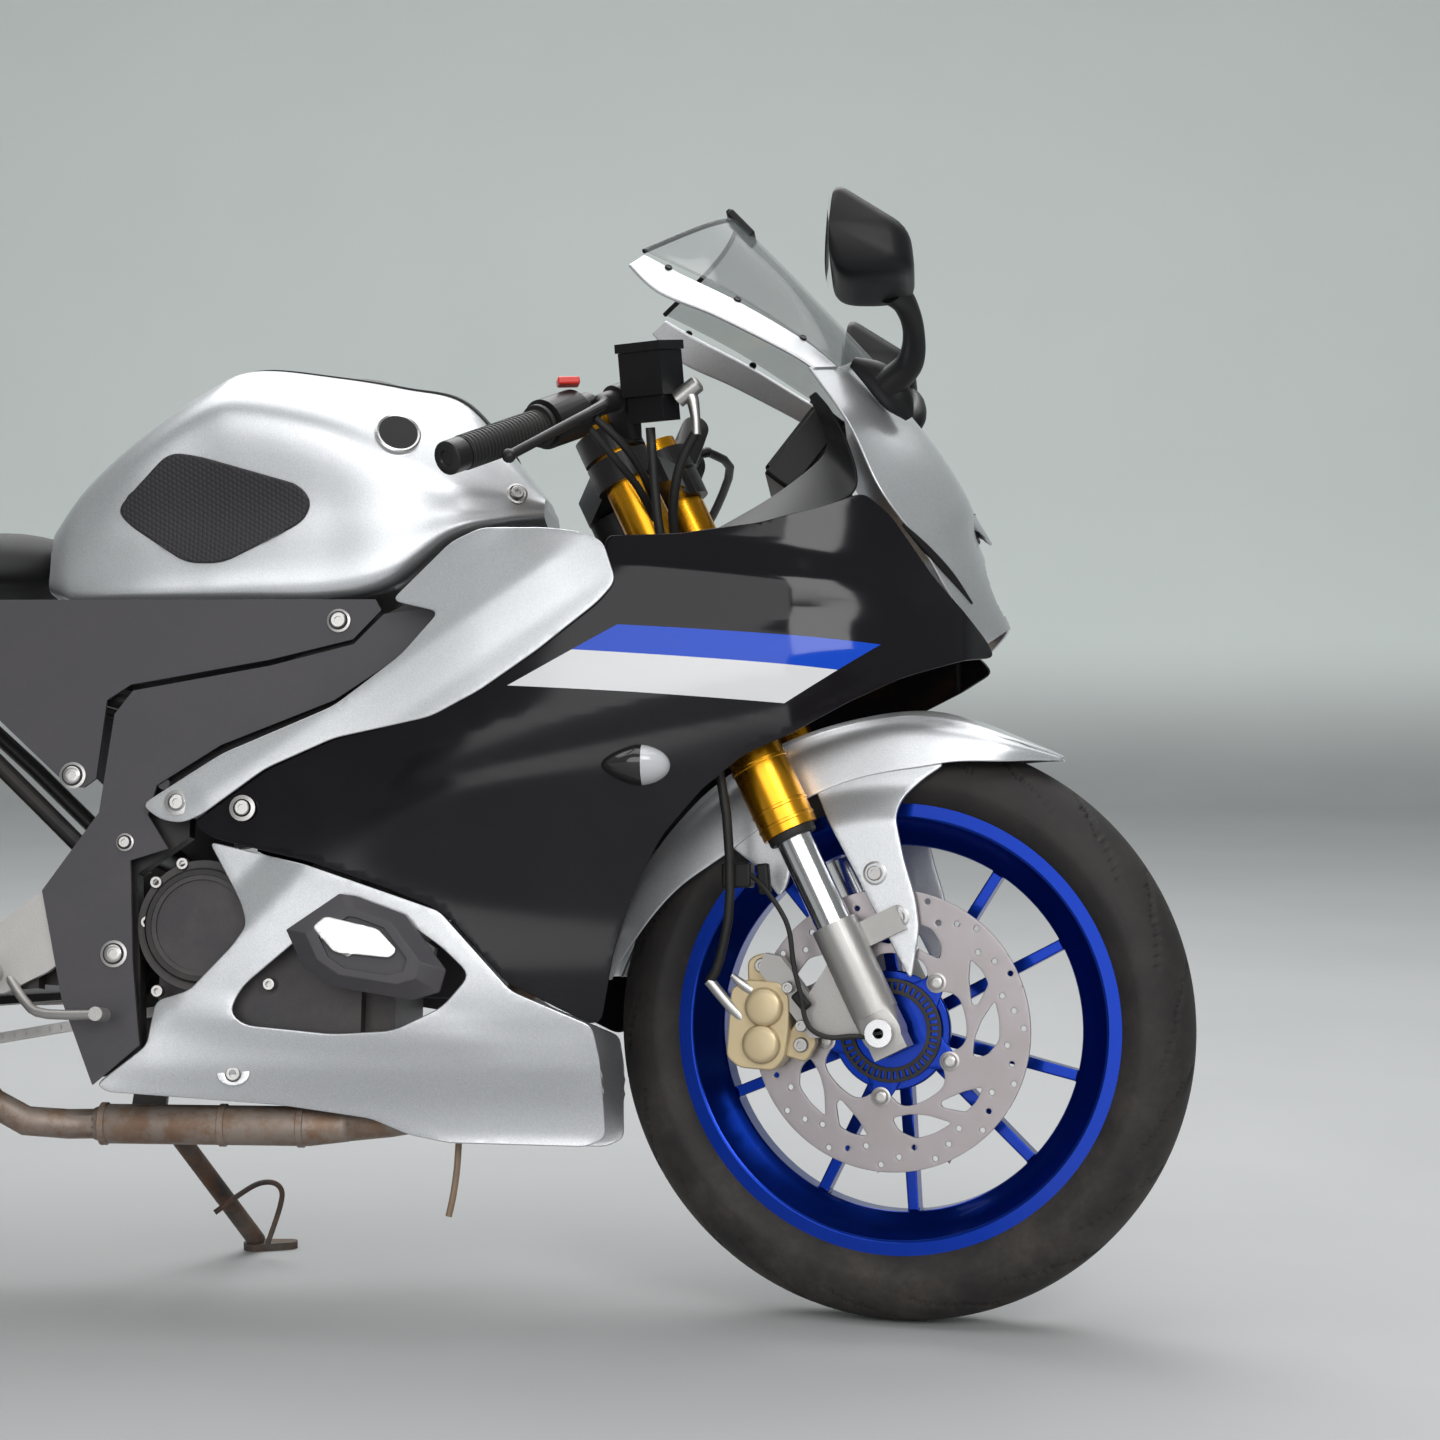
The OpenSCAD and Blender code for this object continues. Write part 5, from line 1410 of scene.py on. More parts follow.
@dataclass
class TankAndSeats:
    """Fuel tank, knee pads, seats and tail.

    A row of the tank is x and top, then the half widths of the top and of the shoulder, then half width and
    height of the side, of the knee and of the foot. A row of a seat is x, top, half widths of the top and of
    the side, and foot. A row of the tail is x, then half width and height of its top, side and foot.
    """

    tank: tuple = (
        (-226, 812, 30, 56, 70, 786, 74, 760, 74, 738),
        (-190, 858, 36, 74, 96, 822, 98, 772, 100, 724),
        (-130, 908, 44, 98, 126, 862, 112, 792, 114, 724),
        (-60, 955, 52, 112, 142, 900, 118, 806, 120, 726),
        (-14, 976, 56, 116, 147, 906, 122, 808, 122, 727),
        (70, 968, 58, 116, 147, 892, 128, 806, 124, 728),
        (140, 957, 56, 108, 138, 870, 132, 806, 126, 742),
        (200, 944, 48, 92, 120, 850, 122, 812, 120, 786),
        (250, 890, 40, 72, 94, 838, 96, 818, 94, 806),
        (288, 842, 28, 50, 64, 832, 66, 824, 64, 816))
    rider: tuple = (
        (-560, 846, 92, 112, 780), (-520, 828, 96, 118, 762), (-420, 806, 92, 118, 742),
        (-320, 800, 84, 110, 736), (-240, 804, 60, 84, 740), (-200, 800, 34, 52, 752))
    rider_shift: tuple = (-30.0, 0, 0)
    pillion: tuple = (
        (-862, 944, 44, 60, 902), (-820, 944, 66, 82, 890), (-720, 926, 82, 100, 872),
        (-640, 910, 82, 104, 856), (-604, 892, 64, 90, 850))
    tail: tuple = (
        (-968, 20, 908, 34, 886, 18, 862), (-900, 56, 900, 74, 862, 48, 826),
        (-780, 88, 876, 112, 832, 84, 790), (-640, 112, 840, 128, 800, 104, 748),
        (-500, 125, 758, 132, 744, 112, 706), (-400, 119, 732, 126, 720, 108, 680))
    pad: tuple = (
        (-147, 814), (-90, 869), (-60, 865), (46, 835), (58, 818), (49, 799), (-34, 757), (-72, 758),
        (-136, 799))
    pad_rise: float = 3.5
    badge: tuple = (144, 893)
    cap: tuple = ((36, 0), (36, 6), (33, 8.5), (24, 9), (23, 7.5), (0.1, 7.5))
    bolt_axis: tuple = (0.35, -0.9, 0.2)

    @staticmethod
    def closed(half: Array, x: Array, count: int) -> Array:
        """Rings from half sections.

        Args:
            half: Points of each half section from the bottom to the top, as half width and height.
            x: Place of each section.
            count: Points on each smoothed half section.

        Returns:
            Closed rings of points, right side mirrored.
        """
        half = np.moveaxis(along(np.moveaxis(half, 1, 0), count), 0, 1)
        ring = np.concatenate([half, (half[:, ::-1] * [-1, 1])[:, 1:-1]], axis=1)
        return np.concatenate([np.broadcast_to(x[:, None, None], ring.shape[:2] + (1,)), ring], axis=2)

    def tank_rings(self) -> Array:
        """Rings of the tank from its rear to its front."""
        x, top, top_y, shoulder_y, side_y, side_z, knee_y, knee_z, foot_y, foot_z = along(self.tank, 90).T
        zero = np.zeros(len(x))
        half = columns(
            (zero, foot_z - 6), (foot_y * 0.6, foot_z - 4), (foot_y, foot_z), (knee_y, knee_z),
            (side_y, side_z), (shoulder_y, (side_z + 2 * top) / 3), (top_y, top - 3), (zero, top))
        return self.closed(half, x, 48)

    def seat(self, rows: Sequence, count: int, shift: Sequence[float] = (0, 0, 0)) -> Surface:
        """Seat cushion through rows from its rear to its front.

        Args:
            rows: Rows of the cushion.
            count: Rings of the smoothed cushion.
            shift: Move of the whole cushion.

        Returns:
            The closed cushion.
        """
        x, top, top_y, side_y, foot = along(rows, count).T
        zero = np.zeros(count)
        half = columns((zero, foot), (side_y - 10, foot + 4), (side_y, (foot + top) / 2), (top_y, top - 6),
                       (top_y * 0.5, top), (zero, top - 2))
        return Surface().grid(self.closed(half, x, 30) + np.asarray(shift), wrap_v=True, caps=True)

    def side_of_tank(self, x: Array, z: Array) -> Array:
        """Distance of the tank's side from the centre plane at x and z, read between its rings."""
        rings = self.tank_rings()
        levels = np.linspace(720.0, 960.0, 121)
        table = np.stack([np.interp(levels, ring[:, 2], ring[:, 1]) for ring in rings[:, 14:48]])
        row = np.clip(np.interp(x, rings[:, 0, 0], np.arange(len(rings))), 0, len(rings) - 1.001)
        column = np.clip((z - levels[0]) / (levels[1] - levels[0]), 0, len(levels) - 1.001)
        i, j = row.astype(int), column.astype(int)
        u, v = row - i, column - j
        low = table[i, j] * (1 - v) + table[i, j + 1] * v
        high = table[i + 1, j] * (1 - v) + table[i + 1, j + 1] * v
        return low * (1 - u) + high * u

    def badge_place(self) -> tuple[Array, Array]:
        """Seat of the right-hand badge on the tank, and the direction out of it."""
        rings = self.tank_rings()
        row = int(np.argmin(np.abs(rings[:, 0, 0] - self.badge[0])))
        section = rings[row]
        k = int(np.argmin(np.abs(section[:, 2] - self.badge[1]) + np.where(section[:, 1] < 0, 1e3, 0)))
        out = np.cross(rings[row + 1, k] - rings[row - 1, k], section[k + 1] - section[k - 1])
        out = out / np.linalg.norm(out) * (1.0 if out[1] > 0 else -1.0) * [1, -1, 1]
        return section[k] * [1, -1, 1] + 0.5 * out, out

    def tank_details(self, bench: Bench) -> None:
        """Black strip along the top, filler cap, plain round badge seats and bolts."""
        r = along(np.asarray(self.tank, float)[:-1], 70)
        across = np.linspace(-1, 1, 15)[None, :]
        z = r[:, 1:2] + 3.6 - 6.6 * np.abs(across) ** 3
        strip = np.stack([np.broadcast_to(r[:, :1], z.shape), (r[:, 2:3] + 7) * across, z], -1)
        bench.make("tank_strip", Surface().grid(strip), BLACK, trim=Trim(5.0))
        cap = Surface().turned((96, 0, 962), (0.13, 0, 1), self.cap, 48)
        bench.make("filler_cap", cap, BLACK_METAL, trim=Trim(angle=35))
        seat, out = self.badge_place()
        spot = Surface().turned(seat, out, [(20, -4), (20, 3.2), (0.1, 3.8)], 40)
        ring = Surface().turned(seat, out, [(23.5, -4), (23.5, 3.5), (22, 4.4), (20, 3.6), (19.9, 0)], 40)
        bolts = Surface().bolt((262, -89, 836), self.bolt_axis, 7.0, 5.0)
        bolts.turned((262, -88, 836), self.bolt_axis, [(11, -3), (11, 1.5), (9, 2.2)])
        bench.pair("badge_seats", spot, PLAIN_BLACK, trim=CRISP)
        bench.pair("badge_rings", ring, BADGE, trim=CRISP)
        bench.pair("tank_bolts", bolts, STEEL, trim=CRISP)

    def build(self, m: Maker) -> None:
        """Makes the tank, its pads, the seats and the tail."""
        bench = m.at(PARK.bike, Body.CHASSIS)
        shell = Surface().grid(self.tank_rings(), wrap_v=True, caps=True)
        bench.make("tank_shell", shell, SILVER, "fuel_tank", Trim(angle=48))
        pad = flat(rounded(self.pad, 14, 6), (), 0.0, 6.0)
        pad.verts[:, 1] = -self.side_of_tank(pad.verts[:, 0], pad.verts[:, 2]) - self.pad_rise
        bench.pair("knee_pads", pad, PAD, "tank_trim", Trim(5.0, 1.6, 40))
        self.tank_details(bench)
        rider = self.seat(self.rider, 60, self.rider_shift)
        pillion = self.seat(self.pillion, 48)
        for cushion in (bench.make("rider_cushion", rider, SEAT, "rider_seat", Trim(angle=60)),
                        bench.make("pillion_cushion", pillion, SEAT, "pillion_seat", Trim(angle=60))):
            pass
        rows = [((t[0], t[5], t[6]), (t[0], t[3], t[4]), (t[0], t[1], t[2])) for t in self.tail]
        bench.pair("tail_skin", Surface().grid(patch(rows, 70, 24)), SILVER, "tail_cowl", PANEL)
        bench.refine("tail_lamp", RED_LENS, 2.0)
        bench.refine("rear_fender", BLACK, 2.0)
        bench.refine("rear_indicators", AMBER, 1.0, 20.0)
        bench.refine("hugger", BLACK, 1.0)


@dataclass
class Running:
    """Frame, engine, exhaust, swingarm, stand and chain."""

    dressed: tuple = (
        ("frame", BLACK_METAL, 2.0), ("subframe", BLACK_METAL, 0.8), ("engine", ENGINE, 2.0),
        ("engine_covers", ENGINE, 1.5), ("radiator", ENGINE, 0.4), ("exhaust_pipe", HEATED, 0.0),
        ("muffler", ENGINE, 0.0), ("swingarm", BLACK_METAL, 3.0), ("rear_shock", STEEL, 0.8),
        ("chain", STEEL, 0.4), ("rear_caliper", BRONZE, 1.2), ("rearsets", ALLOY, 1.2))
    stand_loop: tuple = ((-92, 196, 96), (-46, 206, 128), (-22, 214, 118), (-40, 232, 62))
    bolts: tuple = ((-64, 450), (-90, 431), (-98, 391), (-85, 322), (28, 330))
    bolts_y: float = -114.0
    clutch: tuple = (-42, -117, 388)
    clutch_rim: tuple = ((58, 0), (58, 6), (56, 8), (51, 8), (50, 5))
    hose: tuple = ((214, -60, 182), (213, -62, 150), (210, -64, 122), (206, -64, 102))
    band_x: tuple = (60.0, -20.0, -142.0)
    band: tuple = ((19.6, 0), (21.6, 1), (21.6, 7), (19.6, 8))
    tip: tuple = ((20, -2), (24, 0), (24, 5), (19, 5), (18, -2), (0.1, -2))
    loop_radii: tuple = (98.5, 35.5)
    front_sprocket: tuple = (-98, 352)
    chain_y: float = 78.0
    pitch: float = 12.7
    plate_points: int = 12

    def build(self, m: Maker) -> None:
        """Dresses the CAD pieces of the running gear and adds their details."""
        bench = m.at(PARK.bike, Body.CHASSIS)
        stand = m.at(PARK.bike, Body.STAND)
        for node, finish, bevel in self.dressed:
            bench.refine(node, finish, bevel, 32.0 if bevel else 40.0)
        stand.refine("side_stand", RUSTY, 1.0)
        stand.make("stand_loop", Surface().pipe(self.stand_loop, 3.0, 40, 10), RUSTY)
        self.engine_fixings(bench)
        bench.make("chain_plates", self.links(), STEEL, trim=CRISP)

    def engine_fixings(self, bench: Bench) -> None:
        """Bolts round the clutch cover, its rim, the drain hose, and bands and tip of the exhaust."""
        bolts = Surface()
        for x, z in self.bolts:
            bolts.bolt((x, self.bolts_y, z), RIGHT, 6.5, 9.0)
        bench.make("engine_bolts", bolts, STEEL, trim=CRISP)
        rim = Surface().turned(self.clutch, RIGHT, self.clutch_rim, 64)
        bench.make("clutch_rim", rim, BLACK_METAL, trim=Trim(angle=35))
        bench.make("drain_hose", Surface().pipe(self.hose, 3.4, 24, 10), HOSE)
        bands = Surface()
        for x in self.band_x:
            bands.turned((x, -72, 190), (-1, 0, 0), self.band, 40)
        bench.make("exhaust_bands", bands, HEATED, trim=CRISP)
        tip = Surface().turned((-716, -178, 452), (-0.95, 0, 0.3), self.tip, 40)
        bench.make("muffler_tip", tip, BLACK_METAL, trim=Trim(angle=35))

    def chain_line(self) -> Array:
        """Closed line of x and z round both sprockets: two arcs joined by their tangents."""
        rear = PARK.rear_axle[[0, 2]]
        front = np.asarray(self.front_sprocket, float)
        big, small = self.loop_radii
        axis = front - rear
        base = math.atan2(axis[1], axis[0])
        spread = math.acos((big - small) / np.linalg.norm(axis))
        arc_rear = np.linspace(base + spread, base + 2 * math.pi - spread, 200)
        arc_front = np.linspace(base - spread, base + spread, 80)
        line = np.vstack([rear + big * np.stack([np.cos(arc_rear), np.sin(arc_rear)], 1),
                          front + small * np.stack([np.cos(arc_front), np.sin(arc_front)], 1)])
        return np.vstack([line, line[:1]])

    @staticmethod
    def on_line(line: Array, length: Array, at: Array) -> Array:
        """Points at distances along a closed line whose running length is given at each of its points."""
        return np.stack([np.interp(at % length[-1], length, line[:, k]) for k in (0, 1)], 1)

    def links(self) -> Surface:
        """Chain plates: one waisted plate copied at even steps round the chain line, on both sides."""
        line = self.chain_line()
        length = np.concatenate([[0], np.cumsum(np.linalg.norm(np.diff(line, axis=0), axis=1))])
        count = int(length[-1] / self.pitch)
        at = np.arange(count) * length[-1] / count
        here, middle, there = (self.on_line(line, length, at + d) for d in (-4, 0, 4))
        way = (there - here) / np.linalg.norm(there - here, axis=1, keepdims=True)
        n = self.plate_points
        t = np.linspace(0, 2 * math.pi, n, endpoint=False)
        shape = np.stack([7.6 * np.cos(t), (4.2 + 1.2 * np.cos(2 * t)) * np.sin(t)], 1)
        across = way[:, ::-1] * [-1, 1]
        ring = middle[:, None] + shape[None, :, :1] * way[:, None] + shape[None, :, 1:] * across[:, None]
        start = np.arange(count)[:, None] * 2 * n
        k = np.arange(n)[None]
        after = (k + 1) % n
        wall = np.stack([start + k, start + after, start + n + after, start + n + k], -1).reshape(-1, 4)
        faces = wall.tolist() + (start + k).tolist() + (start + n + k[:, ::-1]).tolist()
        plates = Surface()
        for low, high in ((4.8, 6.4), (-6.4, -4.8)):
            sides = [np.insert(ring, 1, self.chain_y + y, axis=2) for y in (low, high)]
            plates.add(np.stack(sides, 1).reshape(-1, 3), faces)
        return plates


@dataclass
class Front:
    """Fork, bars, controls and front fender.

    A row of the fender is an angle round the axle, the crown's radius, then half width and radius of the
    crease and of the edge. The caliper's outlines lie in its own turned space; its ears, the wire and the
    clamps lie round the axle. The bar and its cables lie in fork space.
    """

    rows: tuple = (
        (33.5, 316, 5, 316, 9, 314), (42, 315, 34, 312, 48, 290), (51, 318, 44, 313, 60, 275),
        (60, 320, 48, 313, 63, 262), (75, 314, 50, 306, 63, 252), (92, 312, 50, 302, 63, 244),
        (105, 312, 50, 300, 63, 243), (113, 311, 50, 300, 63, 249), (122, 311, 50, 303, 62, 262),
        (135, 312, 46, 306, 58, 280), (145.6, 313, 24, 310, 32, 304))
    leg: tuple = (
        (33, 284), (85, 288), (130, 254), (166, 216), (142, 213), (113, 205), (99, 190), (88, 146),
        (82, 107), (73, 79), (42, 34), (38, 148), (34, 232))
    leg_y: float = 80.0
    flap: tuple = ((-72, 242), (-15, 248), (-16, 199), (-34, 176), (-47, 168), (-53, 205), (-65, 226))
    flap_y: float = 64.5
    fender_bolts: tuple = ((56, 147), (58, 98))
    fork_at: tuple = (48, -98)
    fork_rings: tuple = ((228, 29.2), (244, 29.2), (292, 29.2), (392, 25.2))
    seal_z: float = 212.0
    seal: tuple = ((19, 0), (24, 0), (25, 2), (25, 8.5), (19, 8.5))
    caliper: tuple = (-105, -66.5, 56)
    caliper_turn: float = math.radians(30)
    caliper_half: tuple = (
        (-38, -34), (-38, 34), (-24, 44), (12, 44), (22, 30), (24, 0), (22, -30), (12, -44), (-24, -44))
    caliper_bridge: tuple = ((-42, -34), (-42, 34), (-32, 34), (-32, -34))
    piston: tuple = ((19.5, 0), (19.5, 5), (17, 8.5), (12, 9.6), (0.1, 9.6))
    upper_ear: tuple = ((-112, 88), (-96, 124), (-78, 124), (-68, 104), (-70, 78))
    lower_ear: tuple = ((-112, 30), (-86, 6), (-66, 20), (-66, 52))
    caliper_bolts: tuple = (
        (-84, -97, 112, 7.5), (-82, -97, 24, 7.5), (-70, -112, 40, 6.0), (-66, -112, 80, 6.0))
    hose_end: tuple = ((-122, -100, 64), (-130, -106, 90), (-138, -108, 121))
    bleeder: tuple = ((-104, -104, 94), (-110, -108, 106), (-114, -110, 116))
    wire: tuple = (
        (-54, -112, 200), (-44, -120, 178), (-38, -123, 150), (-39, -123, 128), (-49, -123, 97),
        (-55, -122, 70), (-62, -121, 38), (-50, -120, 19), (-27, -117, 9), (-10, -112, -1))
    clamps: tuple = (
        ((-66, -106, 203), (30, 20, 25), 25), ((-42, -112, 188), (12, 12, 30), 20),
        ((-58, -119, 62), (12, 9, 20), -15))
    bar_in: tuple = (94, -126, 687)
    bar_out: tuple = (-34, -350, 654)
    rib: tuple = ((16.2, 0), (17.3, 0.8), (17.3, 2.4), (16.2, 3.2))
    rib_step: float = 5.0
    bar_end: tuple = ((16.4, 0), (16.4, 3), (14, 5), (8, 5), (7, 3), (0.1, 3))
    banjo: tuple = ((150, -152, 656), (155, -152, 648), (150, -152, 628), (143, -151, 612))
    banjo_bolt: tuple = ((0.1, 0), (9, 0), (9, 26), (6, 28), (0.1, 28))
    cables: tuple = (
        (((143, -151, 614), (114, -144, 594), (86, -130, 562), (68, -114, 528), (58, -102, 500)), 5.0),
        (((66, -196, 664), (76, -178, 634), (76, -148, 606), (68, -118, 582), (60, -96, 556)), 4.0),
        (((58, -206, 658), (64, -182, 622), (66, -150, 594), (62, -122, 568), (56, -100, 540)), 4.0))
    dressed: tuple = (
        ("fork_clamps", BLACK_METAL, 2.0), ("fork_tubes", GOLD, 0.8), ("fork_sliders", CHROME, 0.5),
        ("fork_feet", ALLOY, 2.0), ("front_axle", CHROME, 0.5), ("handlebars", BLACK_METAL, 1.0),
        ("grips", RUBBER, 0.8), ("levers", BLACK_METAL, 0.8), ("brake_reservoir", BLACK, 2.5),
        ("brake_hose", RUBBER, 0.0))

    def build(self, m: Maker) -> None:
        """Makes the fender and dresses the fork and controls."""
        wheel = m.at(PARK.front_axle, Body.STEERING)
        fork = m.at(PARK.fork, Body.STEERING)
        wheel.make("fender_skin", self.fender(), SILVER, "front_fender", PANEL)
        wheel.pair("fender_legs", self.fender_leg(), SILVER, trim=Trim(4.0, 1.2, 40))
        self.fork_details(wheel, fork)
        self.bar_details(fork)
        for node, finish, bevel in self.dressed:
            fork.refine(node, finish, bevel)

    def fender(self) -> Surface:
        """Fender as rows across the tyre: a crown that falls to a crease, and a side below the crease."""
        angle, crown, crease_y, crease_r, edge_y, edge_r = along(self.rows, 110).T
        half = columns(
            (np.zeros(len(angle)), crown), (0.55 * crease_y, crown - 0.25 * (crown - crease_r)),
            (0.93 * crease_y, crease_r + 1.2), (crease_y + 0.10 * (edge_y - crease_y), crease_r - 1.5),
            (0.25 * crease_y + 0.75 * edge_y, crease_r - 0.3 * (crease_r - edge_r)), (edge_y, edge_r))
        fine = along(np.moveaxis(half, 1, 0), 30)
        whole = np.concatenate([fine[:0:-1] * [-1, 1], fine], 0)
        a = np.radians(angle)[None]
        grid = np.stack([whole[..., 1] * np.cos(a), whole[..., 0], whole[..., 1] * np.sin(a)], -1)
        return Surface().grid(np.moveaxis(grid, 1, 0))

    def fender_leg(self) -> Surface:
        """Right-hand leg of the fender, flared in towards the tyre at its top, and the rear flap."""
        leg = flat(rounded(self.leg, 10), (), -self.leg_y, 5.0)
        reach = np.hypot(leg.verts[:, 0], leg.verts[:, 2])
        t = np.clip((reach - 205) / 45, 0, 1)
        leg.verts[:, 1] += 15 * t * t * (3 - 2 * t) + 9 * np.clip((reach - 250) / 55, 0, 1)
        flap = flat(rounded(self.flap, 8), (), -self.flap_y, 5.0)
        return leg.add(flap.verts, flap.faces)

    def fork_details(self, wheel: Bench, fork: Bench) -> None:
        """Rings and seals on the fork tubes, fender bolts, the caliper and its fittings, the sensor wire."""
        rings = Surface()
        for z, r in self.fork_rings:
            rings.turned((*self.fork_at, z), (0, 0, 1), [(r, 0), (r + 0.7, 0.8), (r + 0.7, 3.2), (r, 4)], 48)
        fork.pair("fork_rings", rings, GOLD, trim=CRISP)
        seals = Surface().turned((*self.fork_at, self.seal_z), (0, 0, 1), self.seal, 48)
        fork.pair("fork_seals", seals, RUBBER, trim=CRISP)
        bolts = Surface()
        for x, z in self.fender_bolts:
            bolts.turned((x, -self.leg_y, z), RIGHT, [(12, 0), (12, 1.2), (10, 1.8)])
            bolts.bolt((x, -self.leg_y - 1.2, z), RIGHT, 7.5, 4.0)
        wheel.pair("fender_bolts", bolts, STEEL, trim=CRISP)
        shape = Trim(0.0, 1.8, 40, segments=3, loose=True)
        wheel.make("caliper_body", self.caliper_body(), BRONZE, "front_caliper", shape)
        fittings = Surface()
        for *place, r in self.caliper_bolts:
            fittings.bolt(place, RIGHT, r, 6.0)
        fittings.pipe(self.hose_end, (7.0, 5.8, 5.8), 16, 12).pipe(self.bleeder, (6.0, 4.5, 2.5), 12, 12)
        wheel.make("caliper_fittings", fittings, STEEL, trim=CRISP)
        clamps = Surface()
        for place, size, turn in self.clamps:
            clamps.box(place, size, math.radians(turn))
        wheel.make("line_clamps", clamps, BLACK, trim=Trim(0.0, 2.5, segments=3))
        wheel.make("sensor_wire", Surface().pipe(self.wire, 2.6, 90, 10), RUBBER)

    def caliper_body(self) -> Surface:
        """Two caliper halves beside the disc, joined by a bridge outside it, with piston bosses and ears."""
        shape = Surface()
        for outline, low, high in (
                (self.caliper_half, -42, -9), (self.caliper_half, 8, 23), (self.caliper_bridge, -10, 9)):
            shape.prism(rounded(outline, 6, 4), low, high)
        for z in (-18.5, 18.5):
            shape.turned((-2, -41, z), RIGHT, self.piston, 40)
        spin = np.array(Matrix.Rotation(self.caliper_turn, 3, "Y"))
        shape.verts = shape.verts @ spin.T + np.asarray(self.caliper)
        for outline in (self.upper_ear, self.lower_ear):
            shape.prism(rounded(outline, 7, 4), -97, -84)
        return shape

    def bar_details(self, fork: Bench) -> None:
        """Grip ribs, bar ends, the red switch, the brake line and the cables."""
        start = np.asarray(self.bar_in, float)
        way = np.asarray(self.bar_out, float) - start
        length = float(np.linalg.norm(way))
        way = way / length
        ribs = Surface()
        for d in np.arange(length - 112, length - 6, self.rib_step):
            ribs.turned(start + way * d, way, self.rib, 32)
        fork.pair("grip_ribs", ribs, RUBBER, trim=Trim(angle=50))
        ends = Surface().turned(start + way * (length + 15), way, self.bar_end, 32)
        fork.pair("bar_ends", ends, BLACK_METAL, trim=CRISP)
        red = Surface().box((61, -214, 704), (22, 14, 8), math.radians(20), math.radians(28))
        fork.make("stop_switch", red, RED_KNOB, trim=Trim(0.0, 1.8))
        banjo = Surface().pipe(self.banjo, (8, 7, 5, 5), 24, 14)
        banjo.turned((141, -152, 652), (1, 0, 0.2), self.banjo_bolt, 20)
        fork.make("brake_banjo", banjo, STEEL, trim=CRISP)
        cables = Surface()
        for path, radius in self.cables:
            cables.pipe(path, radius, 50, 12, (0, 0.3, 1))
        fork.make("bar_cables", cables, RUBBER)


# Setting


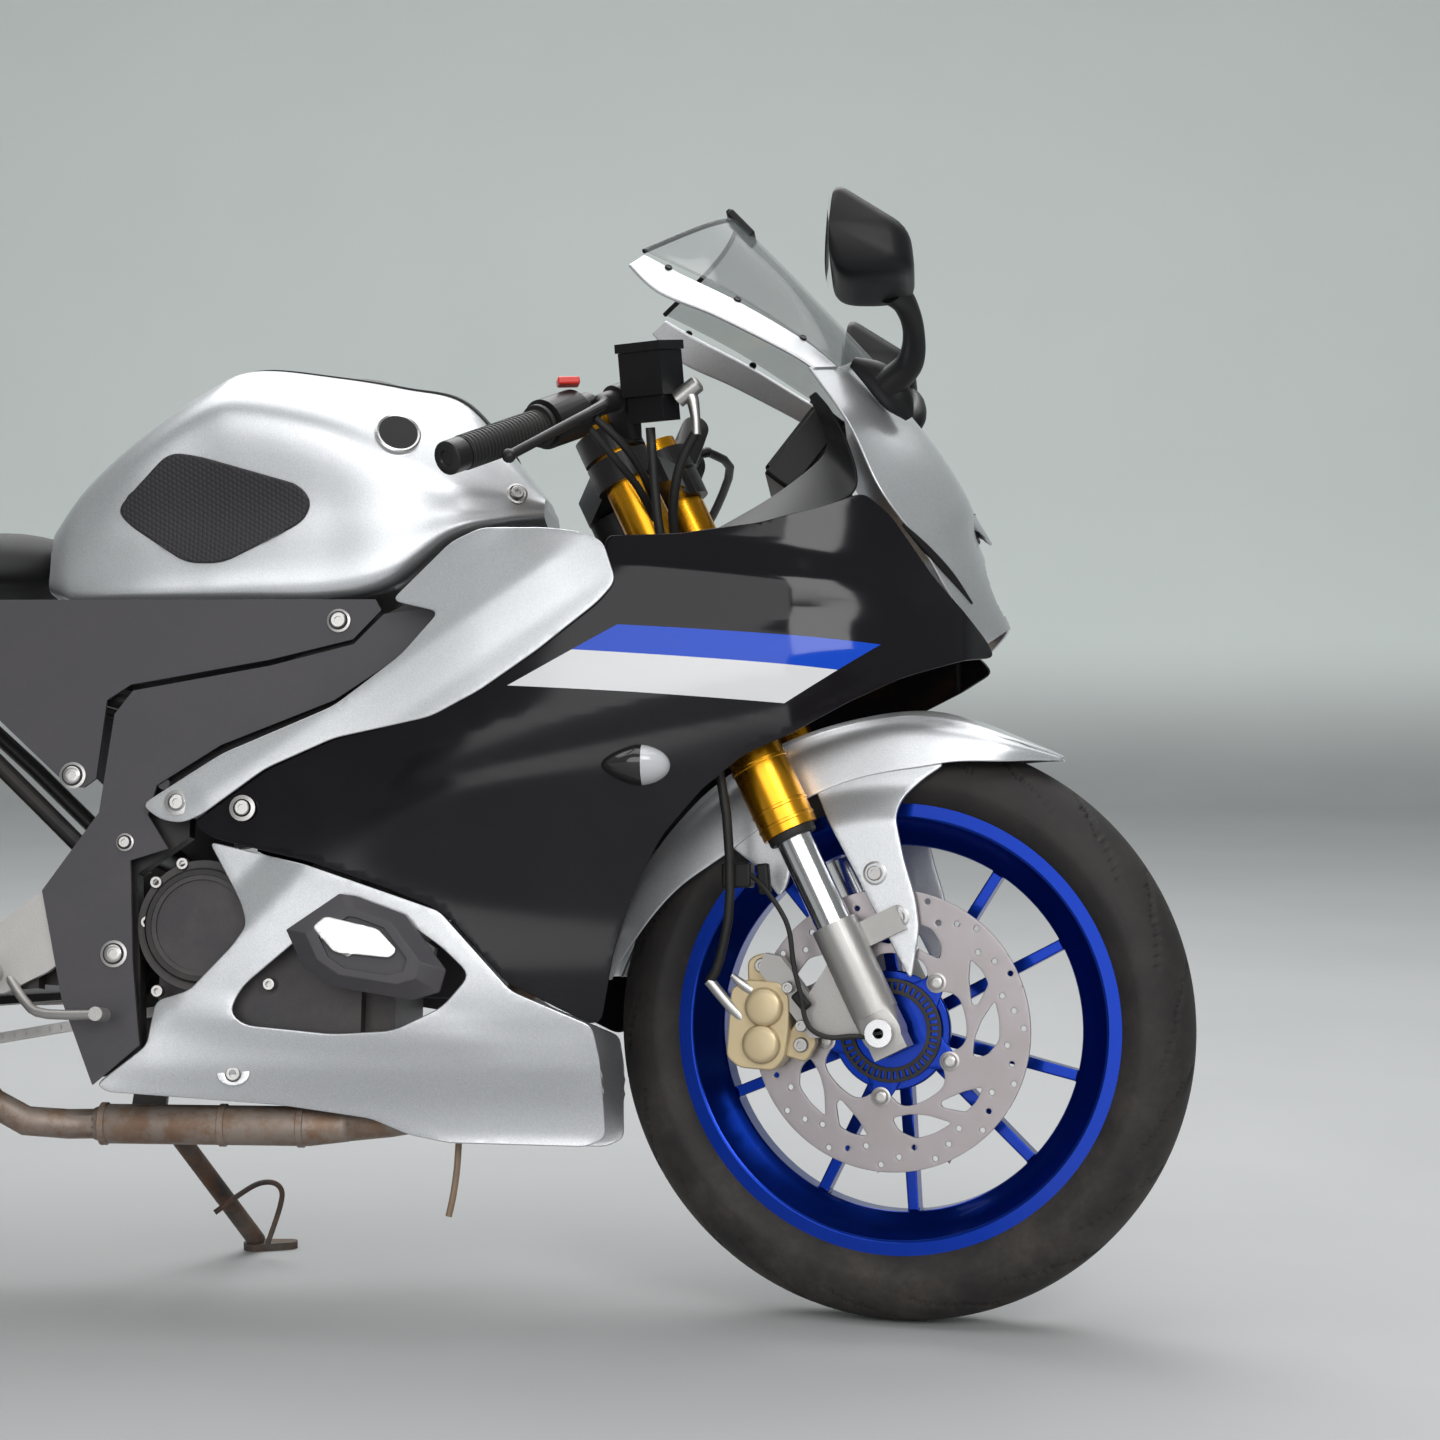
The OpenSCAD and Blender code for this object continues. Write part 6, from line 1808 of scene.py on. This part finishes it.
@dataclass(frozen=True)
class Studio:
    """Pale floor, soft light and the camera at the photograph's place.

    A lamp is a name, a place, a size and a power, in metres and watts.
    """

    camera: tuple = (693.71, -3113.85, 788.88)
    azimuth: float = math.radians(4.0)
    pitch: float = math.radians(3.28)
    lens: float = 78.0
    sensor: float = 36.0
    lamps: tuple = (
        ("overhead", (0.2, 0.5, 4.4), 6.5, 230.0), ("key", (2.4, -3.6, 2.6), 1.8, 70.0),
        ("front", (0.0, -7.5, 2.2), 5.0, 190.0), ("back", (0.0, 1.9, 3.4), 2.6, 60.0))
    lamp_aim: tuple = (0.1, 0.0, 0.5)
    sky: Color = (0.82, 0.86, 0.85)
    sky_strength: float = 0.33
    floor_half: float = 40.0
    wall_start: float = 6.0
    wall_bend: float = 1.0
    wall_top: float = 9.0
    wall_colors: tuple = ((0.82, 0.88, 0.86), (0.88, 0.93, 0.91))
    ground_colors: tuple = ((0.37, 0.375, 0.38), (0.43, 0.435, 0.44))

    def build(self) -> None:
        """Sets up the camera, the floor, the lamps and the world."""
        scene = bpy.context.scene
        scene.view_settings.view_transform = "Standard"
        self.add_camera(scene)
        self.add_floor(scene)
        for lamp in self.lamps:
            self.add_lamp(scene, *lamp)
        world = bpy.data.worlds.new("soft sky")
        scene.world = world
        world.use_nodes = True
        sky = world.node_tree.nodes["Background"].inputs
        sky["Color"].default_value = rgba(self.sky)
        sky["Strength"].default_value = self.sky_strength

    def add_camera(self, scene: bpy.types.Scene) -> None:
        """Adds the camera, looking along its azimuth and down by its pitch."""
        data = bpy.data.cameras.new("camera")
        data.lens = self.lens
        data.sensor_width = self.sensor
        obj = bpy.data.objects.new("camera", data)
        level = math.cos(self.pitch)
        way = (-math.sin(self.azimuth) * level, math.cos(self.azimuth) * level, -math.sin(self.pitch))
        x, y, z = self.camera
        obj.location = ((x - PARK.middle_x) * MM, (y - PARK.middle_y) * MM, z * MM)
        obj.rotation_euler = Vector(way).to_track_quat("-Z", "Y").to_euler()
        scene.collection.objects.link(obj)
        scene.camera = obj

    def floor_material(self) -> bpy.types.Material:
        """Slightly patchy ground that turns paler up the wall."""
        mat = bpy.data.materials.new("pale floor")
        mat.use_nodes = True
        tree = Tree(mat.node_tree)
        co = tree.add("ShaderNodeTexCoord").outputs["Object"]
        noise = tree.add("ShaderNodeTexNoise", {"Vector": co, "Scale": 2.0, "Detail": 5.0}).outputs[0]
        height = tree.add("ShaderNodeSeparateXYZ", {"Vector": co}).outputs["Z"]
        wall = tree.mix(noise, *(rgba(c) for c in self.wall_colors))
        ground = tree.mix(noise, *(rgba(c) for c in self.ground_colors))
        shader = mat.node_tree.nodes["Principled BSDF"]
        color = tree.mix(tree.ramp(height, 0.02, 0.5), ground, wall)
        mat.node_tree.links.new(color, shader.inputs["Base Color"])
        shader.inputs["Roughness"].default_value = 0.7
        return mat

    def add_floor(self, scene: bpy.types.Scene) -> None:
        """Adds a pale floor that curves up far behind the motorcycle."""
        t = np.linspace(0, 1, 24) * math.pi / 2
        half, start, bend = self.floor_half, self.wall_start, self.wall_bend
        y = np.concatenate([[-half, start], start + bend * np.sin(t), [start + bend]])
        z = np.concatenate([[0.0, 0.0], bend * (1 - np.cos(t)), [self.wall_top]])
        grid = np.stack([np.stack([np.full(len(y), x), y, z], -1) for x in (-half, half)])
        surface = Surface().grid(grid)
        mesh = bpy.data.meshes.new("floor")
        mesh.from_pydata(surface.verts.tolist(), [], surface.faces)
        mesh.polygons.foreach_set("use_smooth", np.ones(len(mesh.polygons), bool))
        mesh.materials.append(self.floor_material())
        floor = bpy.data.objects.new("floor", mesh)
        scene.collection.objects.link(floor)

    def add_lamp(self, scene: bpy.types.Scene, name: str, place: Sequence[float],
                 size: float, power: float) -> None:
        """Adds a square area lamp that faces the motorcycle.

        Args:
            scene: Scene to add to.
            name: Name of the lamp.
            place: Its place in metres.
            size: Side of its square.
            power: Its power in watts.
        """
        data = bpy.data.lights.new(name, "AREA")
        data.size = size
        data.energy = power
        obj = bpy.data.objects.new(name, data)
        obj.location = place
        obj.rotation_euler = (Vector(self.lamp_aim) - Vector(place)).to_track_quat("-Z", "Y").to_euler()
        scene.collection.objects.link(obj)


def main() -> None:
    """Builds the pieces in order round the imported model."""
    logging.basicConfig(level=logging.INFO, format="%(name)s: %(message)s")
    bpy.ops.wm.read_factory_settings(use_empty=True)
    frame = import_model()
    maker = Maker(frame)
    for assembly in (RollingParts(), Front(), Bodywork(), Nose(), TankAndSeats(), Running()):
        assembly.build(maker)
    Studio().build()
    LOG.info("%d pieces", maker.count)


if __name__ == "__main__":
    main()
